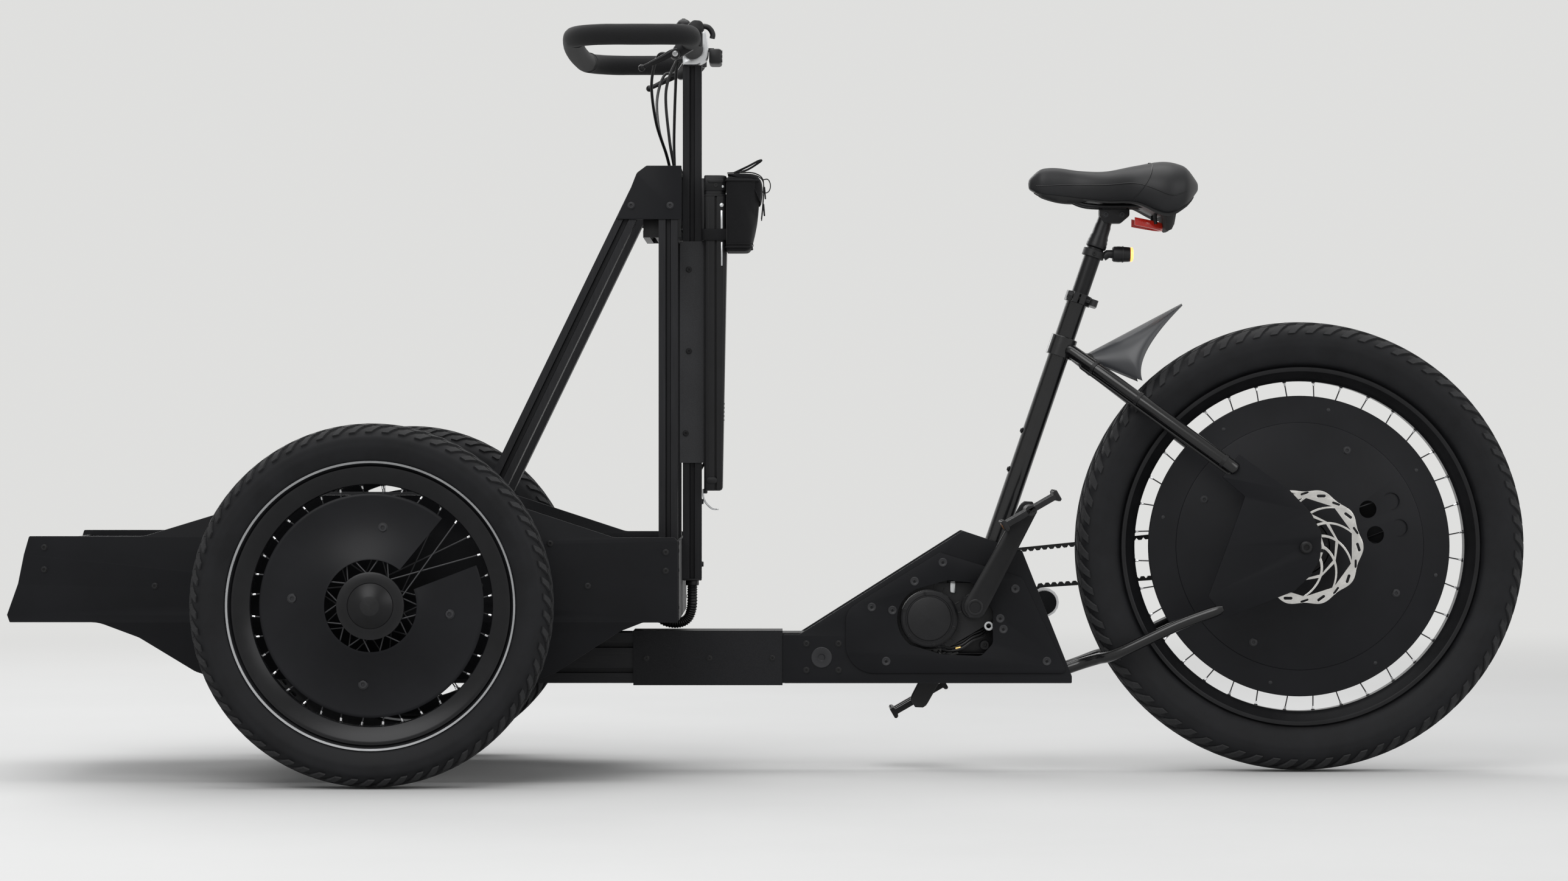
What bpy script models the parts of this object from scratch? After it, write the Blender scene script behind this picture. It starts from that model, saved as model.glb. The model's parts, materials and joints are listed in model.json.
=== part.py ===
"""Front-loading electric cargo trike, in metres, +X forward, +Y to its left, +Z up.

Two front wheels carry a plate-sided cargo bay and a handlebar tower, which all
turn about one kingpin at the front of a slotted beam. Behind it a plated gear case
holds a mid motor, whose toothed belt drives one fat rear wheel under the saddle.
Side outlines are given in the XZ plane, each from the axis that its piece serves.
"""

from math import acos, asin, atan2, ceil, cos, hypot, pi, radians, sin, tan

import bmesh
import bpy
from mathutils import Matrix, Vector

# Clearances
GAP = 0.0003
RUN = 0.0005
WELD = 0.000004
MERGE = 0.00002

# Overall layout
WHEELBASE = 1.446
KINGPIN_X = 0.6175
CRANK_TO_TOWER = 0.926
FRONT_TRACK = 0.730
CRANK_TO_REAR_AXLE = 0.520

# Tyres, rims and spokes
FRONT_TYRE_R = 0.277
FRONT_TYRE_W = 0.076
FRONT_RIM_R = 0.2105
FRONT_RIM_DEPTH = 0.0275
FRONT_RIM_W = 0.044
REAR_TYRE_R = 0.359
REAR_TYRE_W = 0.088
REAR_RIM_R = 0.285
REAR_RIM_DEPTH = 0.022
REAR_RIM_W = 0.060
TYRE_WALL = 0.005
RIM_TAPER = 0.45
RIM_WALL = 0.0025
BED_DEPTH = 0.009
BEAD_DEPTH = 0.007
WHEEL_STEPS = 32
COVER_STEPS = 28
HUB_STEPS = 12
SPOKES = 36
SPOKE_R = 0.00115
SPOKE_LEAN = radians(40)
SPOKE_FACE = 0.002
SPOKE_BITE = 0.004

# Front hub and disc cover
STUB_R = 0.0125
FRONT_FLANGE_R = 0.045
FRONT_FLANGE_Y = 0.026
HUB_FLANGE_T = 0.006
FRONT_CAP_R = 0.051
FRONT_NOSE_Y = 0.040
FRONT_COVER_IN = 0.070
FRONT_COVER_OUT = 0.170
COVER_T = 0.0015
COVER_SECTOR = (radians(21), radians(51))

# Rear hub, covers and brake
REAR_AXLE_R = 0.006
REAR_FLANGE_R = 0.045
REAR_FLANGE_Y = 0.034
REAR_COVER_OUT = 0.240
REAR_COVER_STEP = 0.197
REAR_COVER_HOLES = ((-0.111, 0.062), (-0.1235, 0.0205))
COVER_HOLE_R = 0.0145
DROPOUT_Y = 0.0975
DROPOUT_T = 0.005
ROTOR_R = 0.0905
ROTOR_WAVE = 0.0025
ROTOR_LOBES = 10
ROTOR_Y = 0.080
ROTOR_T = 0.002
ROTOR_BORE = 0.0218
FREEHUB_R = 0.020

# Main beam, its sleeve and the kingpin
BEAM = 0.080
BEAM_DROP = 0.095
BEAM_FRONT = 0.040
BEAM_TAIL = 0.184
BEAM_CORE_R = 0.0045
SLEEVE_WALL = 0.003
SLEEVE_TAIL = 0.304
SLEEVE_LENGTH = 0.237
KINGPIN_R = 0.008
AXLE_BOX = 0.040

# Gear case, in the XZ plane from the crank axis; the third number is a corner radius
CRANK_RISE = 0.082
PLATE_T = 0.005
LAYER_T = 0.003
CASE_OUTLINE = (
    (0.304, -0.122, 0.004), (0.304, -0.044, 0.004), (0.277, -0.044, 0.004),
    (0.0185, 0.120, 0.004), (-0.076, 0.0885, 0.004), (-0.155, -0.111, 0.004),
    (-0.155, -0.122, 0.002),
)
LAYER_OUTLINE = (
    (0.055, 0.086, 0.006), (-0.076, 0.046, 0.010), (-0.148, -0.106, 0.006),
    (0.204, -0.106, 0.055), (0.204, -0.006, 0.030),
)
WINDOW_OUTLINE = (
    (0.041, 0.042, 0.020), (-0.002, 0.037, 0.020), (-0.0295, -0.007, 0.014),
    (-0.0295, -0.059, 0.012), (-0.011, -0.079, 0.012), (0.052, -0.076, 0.020),
)
WINDOW_ARC = (radians(-55), radians(70))
WINDOW_GAP = 0.005
STANDOFFS = ((0.163, -0.001), (0.140, -0.087), (-0.115, -0.087), (-0.065, 0.028))
STANDOFF_R = 0.005
CASE_CROSS = (-0.136, -0.104)

# Motor, from the crank axis
MOTOR = (0.0715, -0.0195)
MOTOR_R = 0.056
MOTOR_FACE = 0.028
MOTOR_EARS = ((0.050, 0.070), (0.130, -0.006), (-0.041, -0.019))
MOTOR_EAR_R = 0.010
MOTOR_COVER_R = 0.046
MOTOR_COVER_Y = 0.050

# Crank, pedals and belt drive
CRANK_LENGTH = 0.175
CRANK_ANGLE = radians(28.4)
CRANK_Y = 0.068
CRANK_T = 0.014
SPINDLE_R = 0.012
PEDAL_LENGTH = 0.100
PEDAL_WIDTH = 0.085
PEDAL_TILT = radians(30)
BELT_PITCH = 0.011
BELT_WIDTH = 0.012
BELT_Y = -0.059
BELT_BACK = 0.0022
BELT_LAND = 0.0010
BELT_TOOTH = 0.0050
BELT_TIP = 0.0023
FRONT_TEETH = 46
SPROCKET_RIM = 0.0082
SPROCKET_BOSS = 0.028
SPROCKET_ARMS = 5
REAR_TEETH = 22
IDLER = (-0.117, 0.0086)
IDLER_R = 0.0235
IDLER_PIN_R = 0.005
IDLER_TRAVEL = 0.020

# Seat tube and rear triangle; distances run up the seat tube from the crank axis
SEAT_ANGLE = radians(18.9)
SEAT_TUBE_R = 0.0163
SEAT_TUBE_WALL = 0.0023
SEAT_STEPS = 12
SEAT_FOOT = 0.078
SEAT_TOP = 0.527
COLLAR_HEIGHT = 0.016
STAY_RING = 0.4366
SEAT_STAY_R = 0.0105
CHAIN_STAY_R = 0.009
STAY_SPREAD = ((0.0, 0.013), (0.10, 0.030), (0.22, 0.047), (0.45, 0.067), (0.72, 0.087),
               (0.93, 0.100), (1.0, 0.100))
STAY_LAP = 0.012
DROPOUT_OUTLINE = (
    (0.106, 0.147, 0.002), (0.026, 0.090, 0.010), (-0.008, 0.054, 0.020),
    (-0.0246, 0.0217, 0.015), (-0.022, -0.018, 0.020), (-0.006, -0.0455, 0.015),
    (0.019, -0.069, 0.020), (0.126, -0.111, 0.010), (0.154, -0.078, 0.006),
    (0.124, 0.0025, 0.010), (0.096, 0.080, 0.005), (0.131, 0.110, 0.002),
)
CALIPER = (0.065, 0.038)

# Mudguard flap, from the rear axle
FLAP_ROOT = Vector((0.347, 0, 0.3015))
FLAP_TIP = Vector((0.187, 0, 0.3865))
FLAP_WING = (Vector((0.2533, 0.046, 0.2640)), Vector((0.2685, 0.044, 0.305)))
FLAP_T = 0.002

# Seatpost, saddle and tail light
POST_FIT = 0.0004
BOOT_PROUD = 0.0029
POST_INSERT = 0.150
POST_HEAD = 0.6638
LAMP_RING = 0.594
SADDLE_STATIONS = (
    (-0.149, 0.036, 0.042, 0.046), (-0.128, -0.004, 0.068, 0.076),
    (-0.090, -0.020, 0.080, 0.093), (-0.040, 0.004, 0.073, 0.080),
    (0.005, 0.008, 0.065, 0.050), (0.045, 0.014, 0.066, 0.031),
    (0.085, 0.020, 0.070, 0.025), (0.108, 0.026, 0.062, 0.021),
    (0.121, 0.036, 0.050, 0.012),
)

# Front module; outlines run from the kingpin in X, behind it from the tower's datum, which lies
# there too unless the wheelbase changes, and from the front axle in Z
SIDE_PLATE_Y = 0.268
SIDE_PLATE_T = 0.006
SIDE_OUTLINE = (
    (-0.461, 0.095, 0.001), (-0.455, 0.101, 0.001), (-0.362, 0.101, 0.030),
    (-0.164, 0.166, 0.040), (0.152, 0.166, 0.040), (0.359, 0.103, 0.030),
    (0.536, 0.103, 0.003), (0.544, 0.075, 0.020), (0.553, 0.030, 0.020),
    (0.570, -0.018, 0), (0.566, -0.0295, 0.002), (0.430, -0.0295, 0.060), (0.367, -0.053, 0.030),
    (0.281, -0.105, 0.030), (0.246, -0.117, 0.030), (-0.249, -0.117, 0.020),
    (-0.272, -0.108, 0.020), (-0.371, -0.044, 0.015), (-0.407, -0.030, 0.012),
    (-0.461, -0.030, 0.002),
)
DECK_Z = 0.0205
DECK_T = 0.012
NOTCH_SPARE = 0.002
CROSS_T = 0.0045
CROSS_REAR = -0.4623
CROSS_FRONT = 0.5220
CROSS_LOW = -0.027
CROSS_HIGH = 0.095

# Tower: slotted extrusions, heights from the ground
SLOT_BAR = 0.030
TOWER_Y = 0.120
BRACE_SLOPE = radians(25.85)
BRACE_SPREAD = 1.1
BRACE_AHEAD = 0.0386
BRACE_Z = 0.8623
BRACE_TOP = 0.938
CROSSBAR_Z = 0.862
CROSSBAR_DEPTH = 0.060
CAP_T = 0.003
CAP_TOP = 0.958
CAP_OUTLINE = (
    (-0.4635, 0.874, 0.002), (-0.361, 0.874, 0.002), (-0.384, 0.923, 0.010),
    (-0.3933, 0.9467, 0.010), (-0.4085, 0.958, 0.004), (-0.4635, 0.958, 0.001),
)
GROMMET_X = -0.446
GROMMET_R = 0.010
STEER_POST_LOW = 0.307
STEER_POST_TOP = 1.126
BRACKET_LOW = 0.492
BRACKET_TO_CROSSBAR = 0.002
BATTERY_LOW = 0.447
BATTERY_TOP = 0.950
BATTERY_DEPTH = 0.0364
BATTERY_W = 0.068
POUCH_LOW = 0.823
POUCH_TOP = 0.953
POUCH_DEPTH = 0.0535
POUCH_W = 0.110

# Handlebar loop
BAR_Z = 1.150
BAR_R = 0.011
BAR_REAR = -0.489
BAR_FRONT = -0.305
BAR_HALF = 0.273
BAR_CORNER = 0.055
FOAM_R = 0.0165
FOAM_END = 0.216
PERCH_Y = 0.182
PERCH_W = 0.014
LEVER_REACH = (0.052, -0.022)
LEVER_T = 0.009
CABLE_R = 0.0024

# Places that follow from the sizes above
FRONT_Z = FRONT_TYRE_R
REAR_Z = REAR_TYRE_R
REAR_X = KINGPIN_X - WHEELBASE
CRANK_X = REAR_X + CRANK_TO_REAR_AXLE
TOWER_X = CRANK_X + CRANK_TO_TOWER
BEAM_Z = FRONT_Z - BEAM_DROP
CRANK_Z = BEAM_Z + CRANK_RISE
BEAM_HALF = BEAM / 2
PLATE_IN = BEAM_HALF + GAP
PLATE_OUT = PLATE_IN + PLATE_T
LAYER_OUT = PLATE_OUT + LAYER_T
DECK_TOP = FRONT_Z + DECK_Z + DECK_T
SIDE_IN = SIDE_PLATE_Y - SIDE_PLATE_T
POST_FRONT = CROSS_REAR - GAP
DECK_LOW = FRONT_Z + DECK_Z
BAY_REAR = TOWER_X + CROSS_REAR
POST_X = TOWER_X + POST_FRONT - SLOT_BAR / 2
UPRIGHT_X = BAY_REAR + CROSS_T + GAP + SLOT_BAR / 2
TUBE_BORE = SEAT_TUBE_R - SEAT_TUBE_WALL
POST_R = TUBE_BORE - POST_FIT
RING_BORE = SEAT_TUBE_R + GAP

# Frames that outlines are drawn in
SIDE_VIEW = Matrix.Rotation(pi / 2, 4, "X")
SEAT_FRAME = Matrix.Translation((CRANK_X, 0, CRANK_Z)) @ Matrix.Rotation(-SEAT_ANGLE, 4, "Y")

parts = {}


# Scene, materials and finishing

def clear_scene():
    for obj in list(bpy.data.objects):
        bpy.data.objects.remove(obj, do_unlink=True)


def make_material(name, colour, roughness, metallic):
    material = bpy.data.materials.new(name)
    material.use_nodes = True
    shader = material.node_tree.nodes["Principled BSDF"]
    shader.inputs["Base Color"].default_value = (*colour, 1)
    shader.inputs["Roughness"].default_value = roughness
    shader.inputs["Metallic"].default_value = metallic
    return material


def make_materials():
    looks = {
        "tyre_black": ((0.022, 0.022, 0.024), 0.75, 0.0),
        "rim_black": ((0.030, 0.030, 0.032), 0.40, 0.3),
        "plate_black": ((0.018, 0.018, 0.020), 0.55, 0.0),
        "extrusion_black": ((0.028, 0.028, 0.030), 0.42, 0.5),
        "gloss_black": ((0.012, 0.012, 0.013), 0.18, 0.0),
        "plastic_black": ((0.020, 0.020, 0.022), 0.50, 0.0),
        "cover_black": ((0.026, 0.026, 0.028), 0.62, 0.0),
        "foam_black": ((0.016, 0.016, 0.017), 0.90, 0.0),
        "steel": ((0.62, 0.62, 0.64), 0.28, 1.0),
        "grey_plate": ((0.070, 0.070, 0.075), 0.50, 0.2),
        "grey_flap": ((0.20, 0.21, 0.22), 0.45, 0.0),
        "vinyl_black": ((0.018, 0.018, 0.019), 0.48, 0.0),
        "cloth_black": ((0.014, 0.014, 0.015), 0.95, 0.0),
        "belt_black": ((0.020, 0.020, 0.021), 0.70, 0.0),
    }
    return {name: make_material(name, *look) for name, look in looks.items()}


def new_object(name, data):
    obj = bpy.data.objects.new(name, data)
    bpy.context.scene.collection.objects.link(obj)
    return obj


def meshed(obj, distance=MERGE):
    """Swap a curve or a modified object for its plain closed mesh, in place."""
    name = obj.name
    place = obj.matrix_world.copy()
    graph = bpy.context.evaluated_depsgraph_get()
    mesh = bpy.data.meshes.new_from_object(obj.evaluated_get(graph))
    shape = bmesh.new()
    shape.from_mesh(mesh)
    bmesh.ops.remove_doubles(shape, verts=shape.verts, dist=distance)
    bmesh.ops.dissolve_degenerate(shape, edges=shape.edges, dist=WELD)
    bmesh.ops.recalc_face_normals(shape, faces=shape.faces)
    shape.to_mesh(mesh)
    shape.free()
    bpy.data.objects.remove(obj, do_unlink=True)
    solid = new_object(name, mesh)
    solid.matrix_world = place
    return solid


def combine(target, tools, operation):
    """Join the tools to the target, or cut them from it, and drop the tools."""
    for tool in tools:
        step = target.modifiers.new(tool.name, "BOOLEAN")
        step.operation = operation
        step.object = tool
    bpy.context.view_layer.update()
    solid = meshed(target, WELD)
    for tool in tools:
        bpy.data.objects.remove(tool, do_unlink=True)
    return solid


def join(target, *tools):
    return combine(target, tools, "UNION")


def cut(target, *tools):
    return combine(target, tools, "DIFFERENCE")


# Shapes

def box(name, low, high):
    shape = bmesh.new()
    bmesh.ops.create_cube(shape, size=1)
    size = Vector(high) - Vector(low)
    bmesh.ops.scale(shape, vec=size, verts=shape.verts)
    mesh = bpy.data.meshes.new(name)
    shape.to_mesh(mesh)
    shape.free()
    obj = new_object(name, mesh)
    obj.matrix_world = Matrix.Translation((Vector(low) + Vector(high)) / 2)
    return obj


def bevelled(obj, width, segments=2):
    step = obj.modifiers.new("edges", "BEVEL")
    step.width = width
    step.segments = segments
    return meshed(obj)


def corner_arc(before, corner, after, radius, step):
    """Points of the fillet that rounds one corner of an outline."""
    corner = Vector(corner)
    back = (Vector(before) - corner).normalized()
    ahead = (Vector(after) - corner).normalized()
    half = back.angle(ahead) / 2
    if radius <= 0 or half > radians(89):
        return [tuple(corner)]
    limit = 0.45 * min((Vector(before) - corner).length, (Vector(after) - corner).length)
    reach = min(radius / tan(half), limit)
    radius = reach * tan(half)
    centre = corner + (back + ahead).normalized() * (radius / sin(half))
    start = corner + back * reach - centre
    turn = start.angle_signed(corner + ahead * reach - centre)
    count = 1 if radius < 0.006 else ceil(abs(turn) / step)
    arc = []
    for index in range(count + 1):
        spot = start.copy()
        spot.rotate(Matrix.Rotation(-turn * index / count, 2))
        arc.append(tuple(centre + spot))
    return arc


def outline(corners, dx=0.0, dz=0.0, step=radians(32)):
    """A closed loop through corners (x, z, fillet radius), shifted by dx and dz."""
    loop = []
    for index, (x, z, radius) in enumerate(corners):
        before = corners[index - 1][:2]
        after = corners[(index + 1) % len(corners)][:2]
        loop += corner_arc(before, (x, z), after, radius, step)
    return [(x + dx, z + dz) for x, z in loop]


def rectangle(x0, x1, z0, z1, radius=0.0):
    return outline(((x0, z0, radius), (x1, z0, radius), (x1, z1, radius), (x0, z1, radius)))


def ring(x, z, radius, count=12):
    return [(x + radius * cos(2 * pi * i / count), z + radius * sin(2 * pi * i / count))
            for i in range(count)]


def clear_of(radius, sides):
    """The radius of a faceted bore whose flats clear a bar of this radius."""
    return (radius + GAP) / cos(pi / sides)


def link_outline(x0, z0, r0, x1, z1, r1, count=8):
    """The outline of two circles and the straight sides between them."""
    heading = atan2(z1 - z0, x1 - x0)
    spread = acos((r0 - r1) / hypot(x1 - x0, z1 - z0))
    loop = []
    for index in range(count + 1):
        angle = heading - spread + 2 * spread * index / count
        loop.append((x1 + r1 * cos(angle), z1 + r1 * sin(angle)))
    for index in range(count + 1):
        angle = heading + spread + 2 * (pi - spread) * index / count
        loop.append((x0 + r0 * cos(angle), z0 + r0 * sin(angle)))
    return loop


def slab(name, loops, low, high, frame=Matrix()):
    """Flat loops, holes among them, made a solid from low to high along local Z."""
    curve = bpy.data.curves.new(name, "CURVE")
    curve.dimensions = "2D"
    curve.fill_mode = "BOTH"
    curve.extrude = (high - low) / 2
    for loop in loops:
        spline = curve.splines.new("POLY")
        spline.points.add(len(loop) - 1)
        for point, (x, y) in zip(spline.points, loop):
            point.co = (x, y, 0, 1)
        spline.use_cyclic_u = True
    obj = new_object(name, curve)
    obj.matrix_world = frame @ Matrix.Translation((0, 0, (low + high) / 2))
    bpy.context.view_layer.update()
    return meshed(obj)


def plate(name, loops, y0, y1):
    """A flat piece drawn in side view, between two values of Y."""
    return slab(name, loops, -max(y0, y1), -min(y0, y1), SIDE_VIEW)


def turned(name, profile, place, steps=24, axis=(0, 1, 0)):
    """Turn (radius, height) points about an axis through place; a ring's loop is closed."""
    mesh = bpy.data.meshes.new(name)
    points = [(radius, 0, height) for radius, height in profile]
    edges = [(i, i + 1) for i in range(len(points) - 1)]
    if profile[0][0] > 0 or profile[-1][0] > 0:
        edges.append((len(points) - 1, 0))
    mesh.from_pydata(points, edges, [])
    obj = new_object(name, mesh)
    turn = obj.modifiers.new("turn", "SCREW")
    turn.steps = steps
    turn.render_steps = steps
    turn.use_merge_vertices = True
    turn.merge_threshold = MERGE
    tilt = Vector(axis).to_track_quat("Z", "Y").to_matrix().to_4x4()
    obj.matrix_world = Matrix.Translation(place) @ tilt
    bpy.context.view_layer.update()
    return meshed(obj)


def rod(name, start, end, radius, steps=12):
    """A round bar from start to end."""
    start = Vector(start)
    length = (Vector(end) - start).length
    profile = ((0, length), (radius, length), (radius, 0), (0, 0))
    return turned(name, profile, start, steps, Vector(end) - start)


def washer(name, place, inner, outer, low, high, steps=24, axis=(0, 1, 0)):
    profile = ((outer, high), (outer, low), (inner, low), (inner, high))
    return turned(name, profile, place, steps, axis)


def tube(name, points, radius, resolution=2, closed=False):
    """A round tube along points."""
    curve = bpy.data.curves.new(name, "CURVE")
    curve.dimensions = "3D"
    curve.bevel_depth = radius
    curve.bevel_resolution = resolution
    curve.use_fill_caps = True
    spline = curve.splines.new("POLY")
    spline.points.add(len(points) - 1)
    for point, place in zip(spline.points, points):
        point.co = (*place, 1)
    spline.use_cyclic_u = closed
    obj = new_object(name, curve)
    bpy.context.view_layer.update()
    return meshed(obj)


def smooth_route(points, count):
    """Points of a smooth curve (Catmull-Rom) through the route's own points."""
    ends = [2 * Vector(points[0]) - Vector(points[1])]
    ends += [Vector(p) for p in points]
    ends.append(2 * Vector(points[-1]) - Vector(points[-2]))
    route = []
    spans = len(points) - 1
    for index in range(count + 1):
        place = index / count * spans
        span = min(int(place), spans - 1)
        t = place - span
        p0, p1, p2, p3 = ends[span:span + 4]
        route.append(0.5 * (2 * p1 + (p2 - p0) * t + (2 * p0 - 5 * p1 + 4 * p2 - p3) * t ** 2
                            + (3 * p1 - p0 - 3 * p2 + p3) * t ** 3))
    return route


def slotted_loops(width, height, pitch, scale=1.0):
    """The section of a slotted extrusion: T slots at one pitch on all four sides."""
    mouth, lip, under = 0.0041, 0.0022 * scale, 0.0026 * scale
    wide, foot, floor = 0.0076 * scale, 0.0030 * scale, 0.0090 * scale
    slot = ((-mouth, 0), (-mouth, lip), (-wide, under), (-foot, floor),
            (foot, floor), (wide, under), (mouth, lip), (mouth, 0))
    loop = []
    for side in range(4):
        length, across = (width, height) if side % 2 == 0 else (height, width)
        count = round(length / pitch)
        turn = Matrix.Rotation(side * pi / 2, 2)
        spots = [(-length / 2, -across / 2)]
        for index in range(count):
            centre = (index - (count - 1) / 2) * pitch
            spots += [(centre + u, -across / 2 + v) for u, v in slot]
        loop += [tuple(turn @ Vector(spot)) for spot in spots]
    return [loop]


def slotted_bar(name, loops, start, end):
    """A slotted extrusion from start to end, its section's second axis along Y."""
    start, end = Vector(start), Vector(end)
    along = (end - start).normalized()
    across = Vector((0, 1, 0))
    if abs(along.y) > 0.9:
        across = Vector((0, 0, 1))
    third = across.cross(along)
    frame = Matrix((third, across, along)).transposed().to_4x4()
    frame.translation = start
    return slab(name, loops, 0, (end - start).length, frame)


# Wheels

def rim_bed(depth, width):
    """Half the width of a rim's bed, inside walls that slope in towards the hub."""
    return width / 2 * (1 - (1 - RIM_TAPER) * BED_DEPTH / depth) - RIM_WALL


def tyre(name, place, radius, width, rim_radius, depth, rim_width):
    """A C-shaped carcass: beads between the rim's flanges, open towards the rim."""
    half = width / 2
    bed = rim_bed(depth, rim_width)
    bead = rim_width / 2 - (rim_width / 2 - bed) * BEAD_DEPTH / BED_DEPTH - GAP
    middle = (rim_radius + radius) / 2 + 0.002
    outer = ((radius, 0.36 * half), (radius - 0.012, 0.86 * half), (middle, half),
             (rim_radius - BEAD_DEPTH, bead))
    left = list(outer) + [(radius - 3 * TYRE_WALL, 0.86 * half - TYRE_WALL)]
    right = [(r, -y) for r, y in reversed(left)]
    return turned(name, left + right, place, WHEEL_STEPS)


def laced_wheel(name, place, rim_radius, depth, width, hub_profile, flange_r, flange_y):
    """A rim and a hub joined by spokes that cross in leaning pairs."""
    half = width / 2
    inner = rim_radius - depth
    well = rim_radius - BED_DEPTH
    side = ((rim_radius, half), (inner, RIM_TAPER * half))
    bed = rim_bed(depth, width)
    profile = list(side) + [(r, -y) for r, y in reversed(side)]
    profile += [(well, -bed), (well, bed)]
    rim = turned(name, profile, place, WHEEL_STEPS)
    hub = turned("hub", hub_profile, place, HUB_STEPS)
    shape = bmesh.new()
    hole_r = flange_r - 0.005
    for index in range(SPOKES):
        side_sign = 1 if index % 2 else -1
        lean = 1 if index % 4 < 2 else -1
        angle = (index + 0.5) * 2 * pi / SPOKES
        hub_angle = angle + lean * SPOKE_LEAN
        foot = Vector((hole_r * cos(hub_angle), side_sign * (flange_y + lean * SPOKE_FACE),
                       hole_r * sin(hub_angle)))
        tip_r = inner + SPOKE_BITE
        tip = Vector((tip_r * cos(angle), side_sign * 0.002, tip_r * sin(angle)))
        run = tip - foot
        spin = run.to_track_quat("Z", "Y").to_matrix().to_4x4()
        spot = Matrix.Translation((foot + tip) / 2) @ spin
        bmesh.ops.create_cone(shape, cap_ends=True, segments=3, radius1=SPOKE_R,
                              radius2=SPOKE_R, depth=run.length, matrix=spot)
    mesh = bpy.data.meshes.new("spokes")
    shape.to_mesh(mesh)
    shape.free()
    spokes = new_object("spokes", mesh)
    spokes.matrix_world = Matrix.Translation(place)
    return join(rim, hub, spokes)


def spoke_height(radius, hole_r, flange_y, rim_inner):
    """How far the outermost spokes stand from the wheel's middle at a radius."""
    share = (radius - hole_r) / (rim_inner + SPOKE_BITE - hole_r)
    return (flange_y + SPOKE_FACE) * (1 - share) + 0.002 * share + SPOKE_R


def front_wheel(side, sign, looks):
    centre = Vector((KINGPIN_X, sign * FRONT_TRACK / 2, FRONT_Z))
    body = make_axis("front_wheel_axis_" + side, centre)
    name = "front_tyre_" + side
    piece = tyre(name, centre, FRONT_TYRE_R, FRONT_TYRE_W, FRONT_RIM_R, FRONT_RIM_DEPTH, FRONT_RIM_W)
    finish(piece, looks["tyre_black"], body)
    flange = FRONT_FLANGE_Y
    face = HUB_FLANGE_T / 2
    bore = STUB_R + RUN
    cap = flange + face
    hub = ((0, FRONT_NOSE_Y), (0.014, FRONT_NOSE_Y), (0.032, 0.033), (FRONT_CAP_R, 0.033),
           (FRONT_FLANGE_R, flange - face), (0.021, flange - 0.008), (0.021, 0.008 - flange),
           (FRONT_FLANGE_R, face - flange), (FRONT_FLANGE_R, -cap), (0.020, -0.036),
           (bore, -0.036), (bore, 0.025), (0, 0.025))
    hub = [(r, sign * y) for r, y in hub]
    piece = laced_wheel("front_rim_" + side, centre, FRONT_RIM_R, FRONT_RIM_DEPTH, FRONT_RIM_W,
                        hub, FRONT_FLANGE_R, FRONT_FLANGE_Y)
    finish(piece, looks["rim_black"], body)
    rim_inner = FRONT_RIM_R - FRONT_RIM_DEPTH
    heights = [spoke_height(r, FRONT_FLANGE_R - 0.005, FRONT_FLANGE_Y, rim_inner) + GAP
               for r in (FRONT_COVER_IN, FRONT_COVER_OUT)]
    profile = ((FRONT_COVER_OUT, sign * (heights[1] + COVER_T)),
               (FRONT_COVER_OUT, sign * heights[1]), (FRONT_COVER_IN, sign * heights[0]),
               (FRONT_COVER_IN, sign * (heights[0] + COVER_T)))
    cover = turned("front_cover_" + side, profile, centre, COVER_STEPS)
    low, high = COVER_SECTOR
    reach = FRONT_COVER_OUT * 1.2
    wedge = [(centre.x, centre.z)]
    wedge += [(centre.x - reach * cos(a), centre.z + reach * sin(a)) for a in (low, high)]
    window = plate("window", [wedge], centre.y - 0.05, centre.y + 0.05)
    finish(cut(cover, window), looks["cover_black"], body)


def rear_wheel(looks):
    centre = Vector((REAR_X, 0, REAR_Z))
    body = make_axis("rear_wheel_axis", centre)
    piece = tyre("rear_tyre", centre, REAR_TYRE_R, REAR_TYRE_W, REAR_RIM_R, REAR_RIM_DEPTH,
                 REAR_RIM_W)
    finish(piece, looks["tyre_black"], body)
    flange = REAR_FLANGE_Y
    face = HUB_FLANGE_T / 2
    bore = REAR_AXLE_R + RUN
    end = DROPOUT_Y - RUN
    shoulder = ROTOR_Y - GAP
    spigot = ROTOR_BORE - GAP
    hub = ((0.014, end), (spigot, ROTOR_Y + 0.004), (spigot, shoulder), (0.027, shoulder),
           (0.027, flange + face), (REAR_FLANGE_R, flange + face),
           (REAR_FLANGE_R, flange - face), (0.024, flange - 0.009), (0.024, 0.009 - flange),
           (REAR_FLANGE_R, face - flange), (REAR_FLANGE_R, -flange - face),
           (FREEHUB_R, -flange - face), (FREEHUB_R, -0.070), (0.014, -end), (bore, -end),
           (bore, end))
    piece = laced_wheel("rear_rim", centre, REAR_RIM_R, REAR_RIM_DEPTH, REAR_RIM_W,
                        hub, REAR_FLANGE_R, REAR_FLANGE_Y)
    finish(piece, looks["rim_black"], body)
    rim_inner = REAR_RIM_R - REAR_RIM_DEPTH
    inner = REAR_FLANGE_R + RUN
    radii = (REAR_COVER_OUT, inner, REAR_COVER_STEP)
    base = [spoke_height(r, REAR_FLANGE_R - 0.005, REAR_FLANGE_Y, rim_inner) + GAP for r in radii]
    thick = 2.3 * COVER_T
    for side, sign in (("left", 1), ("right", -1)):
        profile = ((radii[0], base[0] + COVER_T), (radii[0], base[0]), (radii[1], base[1]),
                   (radii[1], base[1] + thick), (radii[2], base[2] + thick),
                   (radii[2], base[2] + COVER_T))
        profile = [(r, sign * y) for r, y in profile]
        cover = turned("rear_cover_" + side, profile, centre, COVER_STEPS)
        if side == "left":
            for dx, dz in REAR_COVER_HOLES:
                spot = centre + Vector((dx, 0, dz))
                hole = rod("hole", spot, spot + Vector((0, 0.08, 0)), COVER_HOLE_R, 12)
                cover = cut(cover, hole)
        finish(cover, looks["cover_black"], body)
    finish(brake_rotor(centre), looks["steel"], body)


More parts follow.
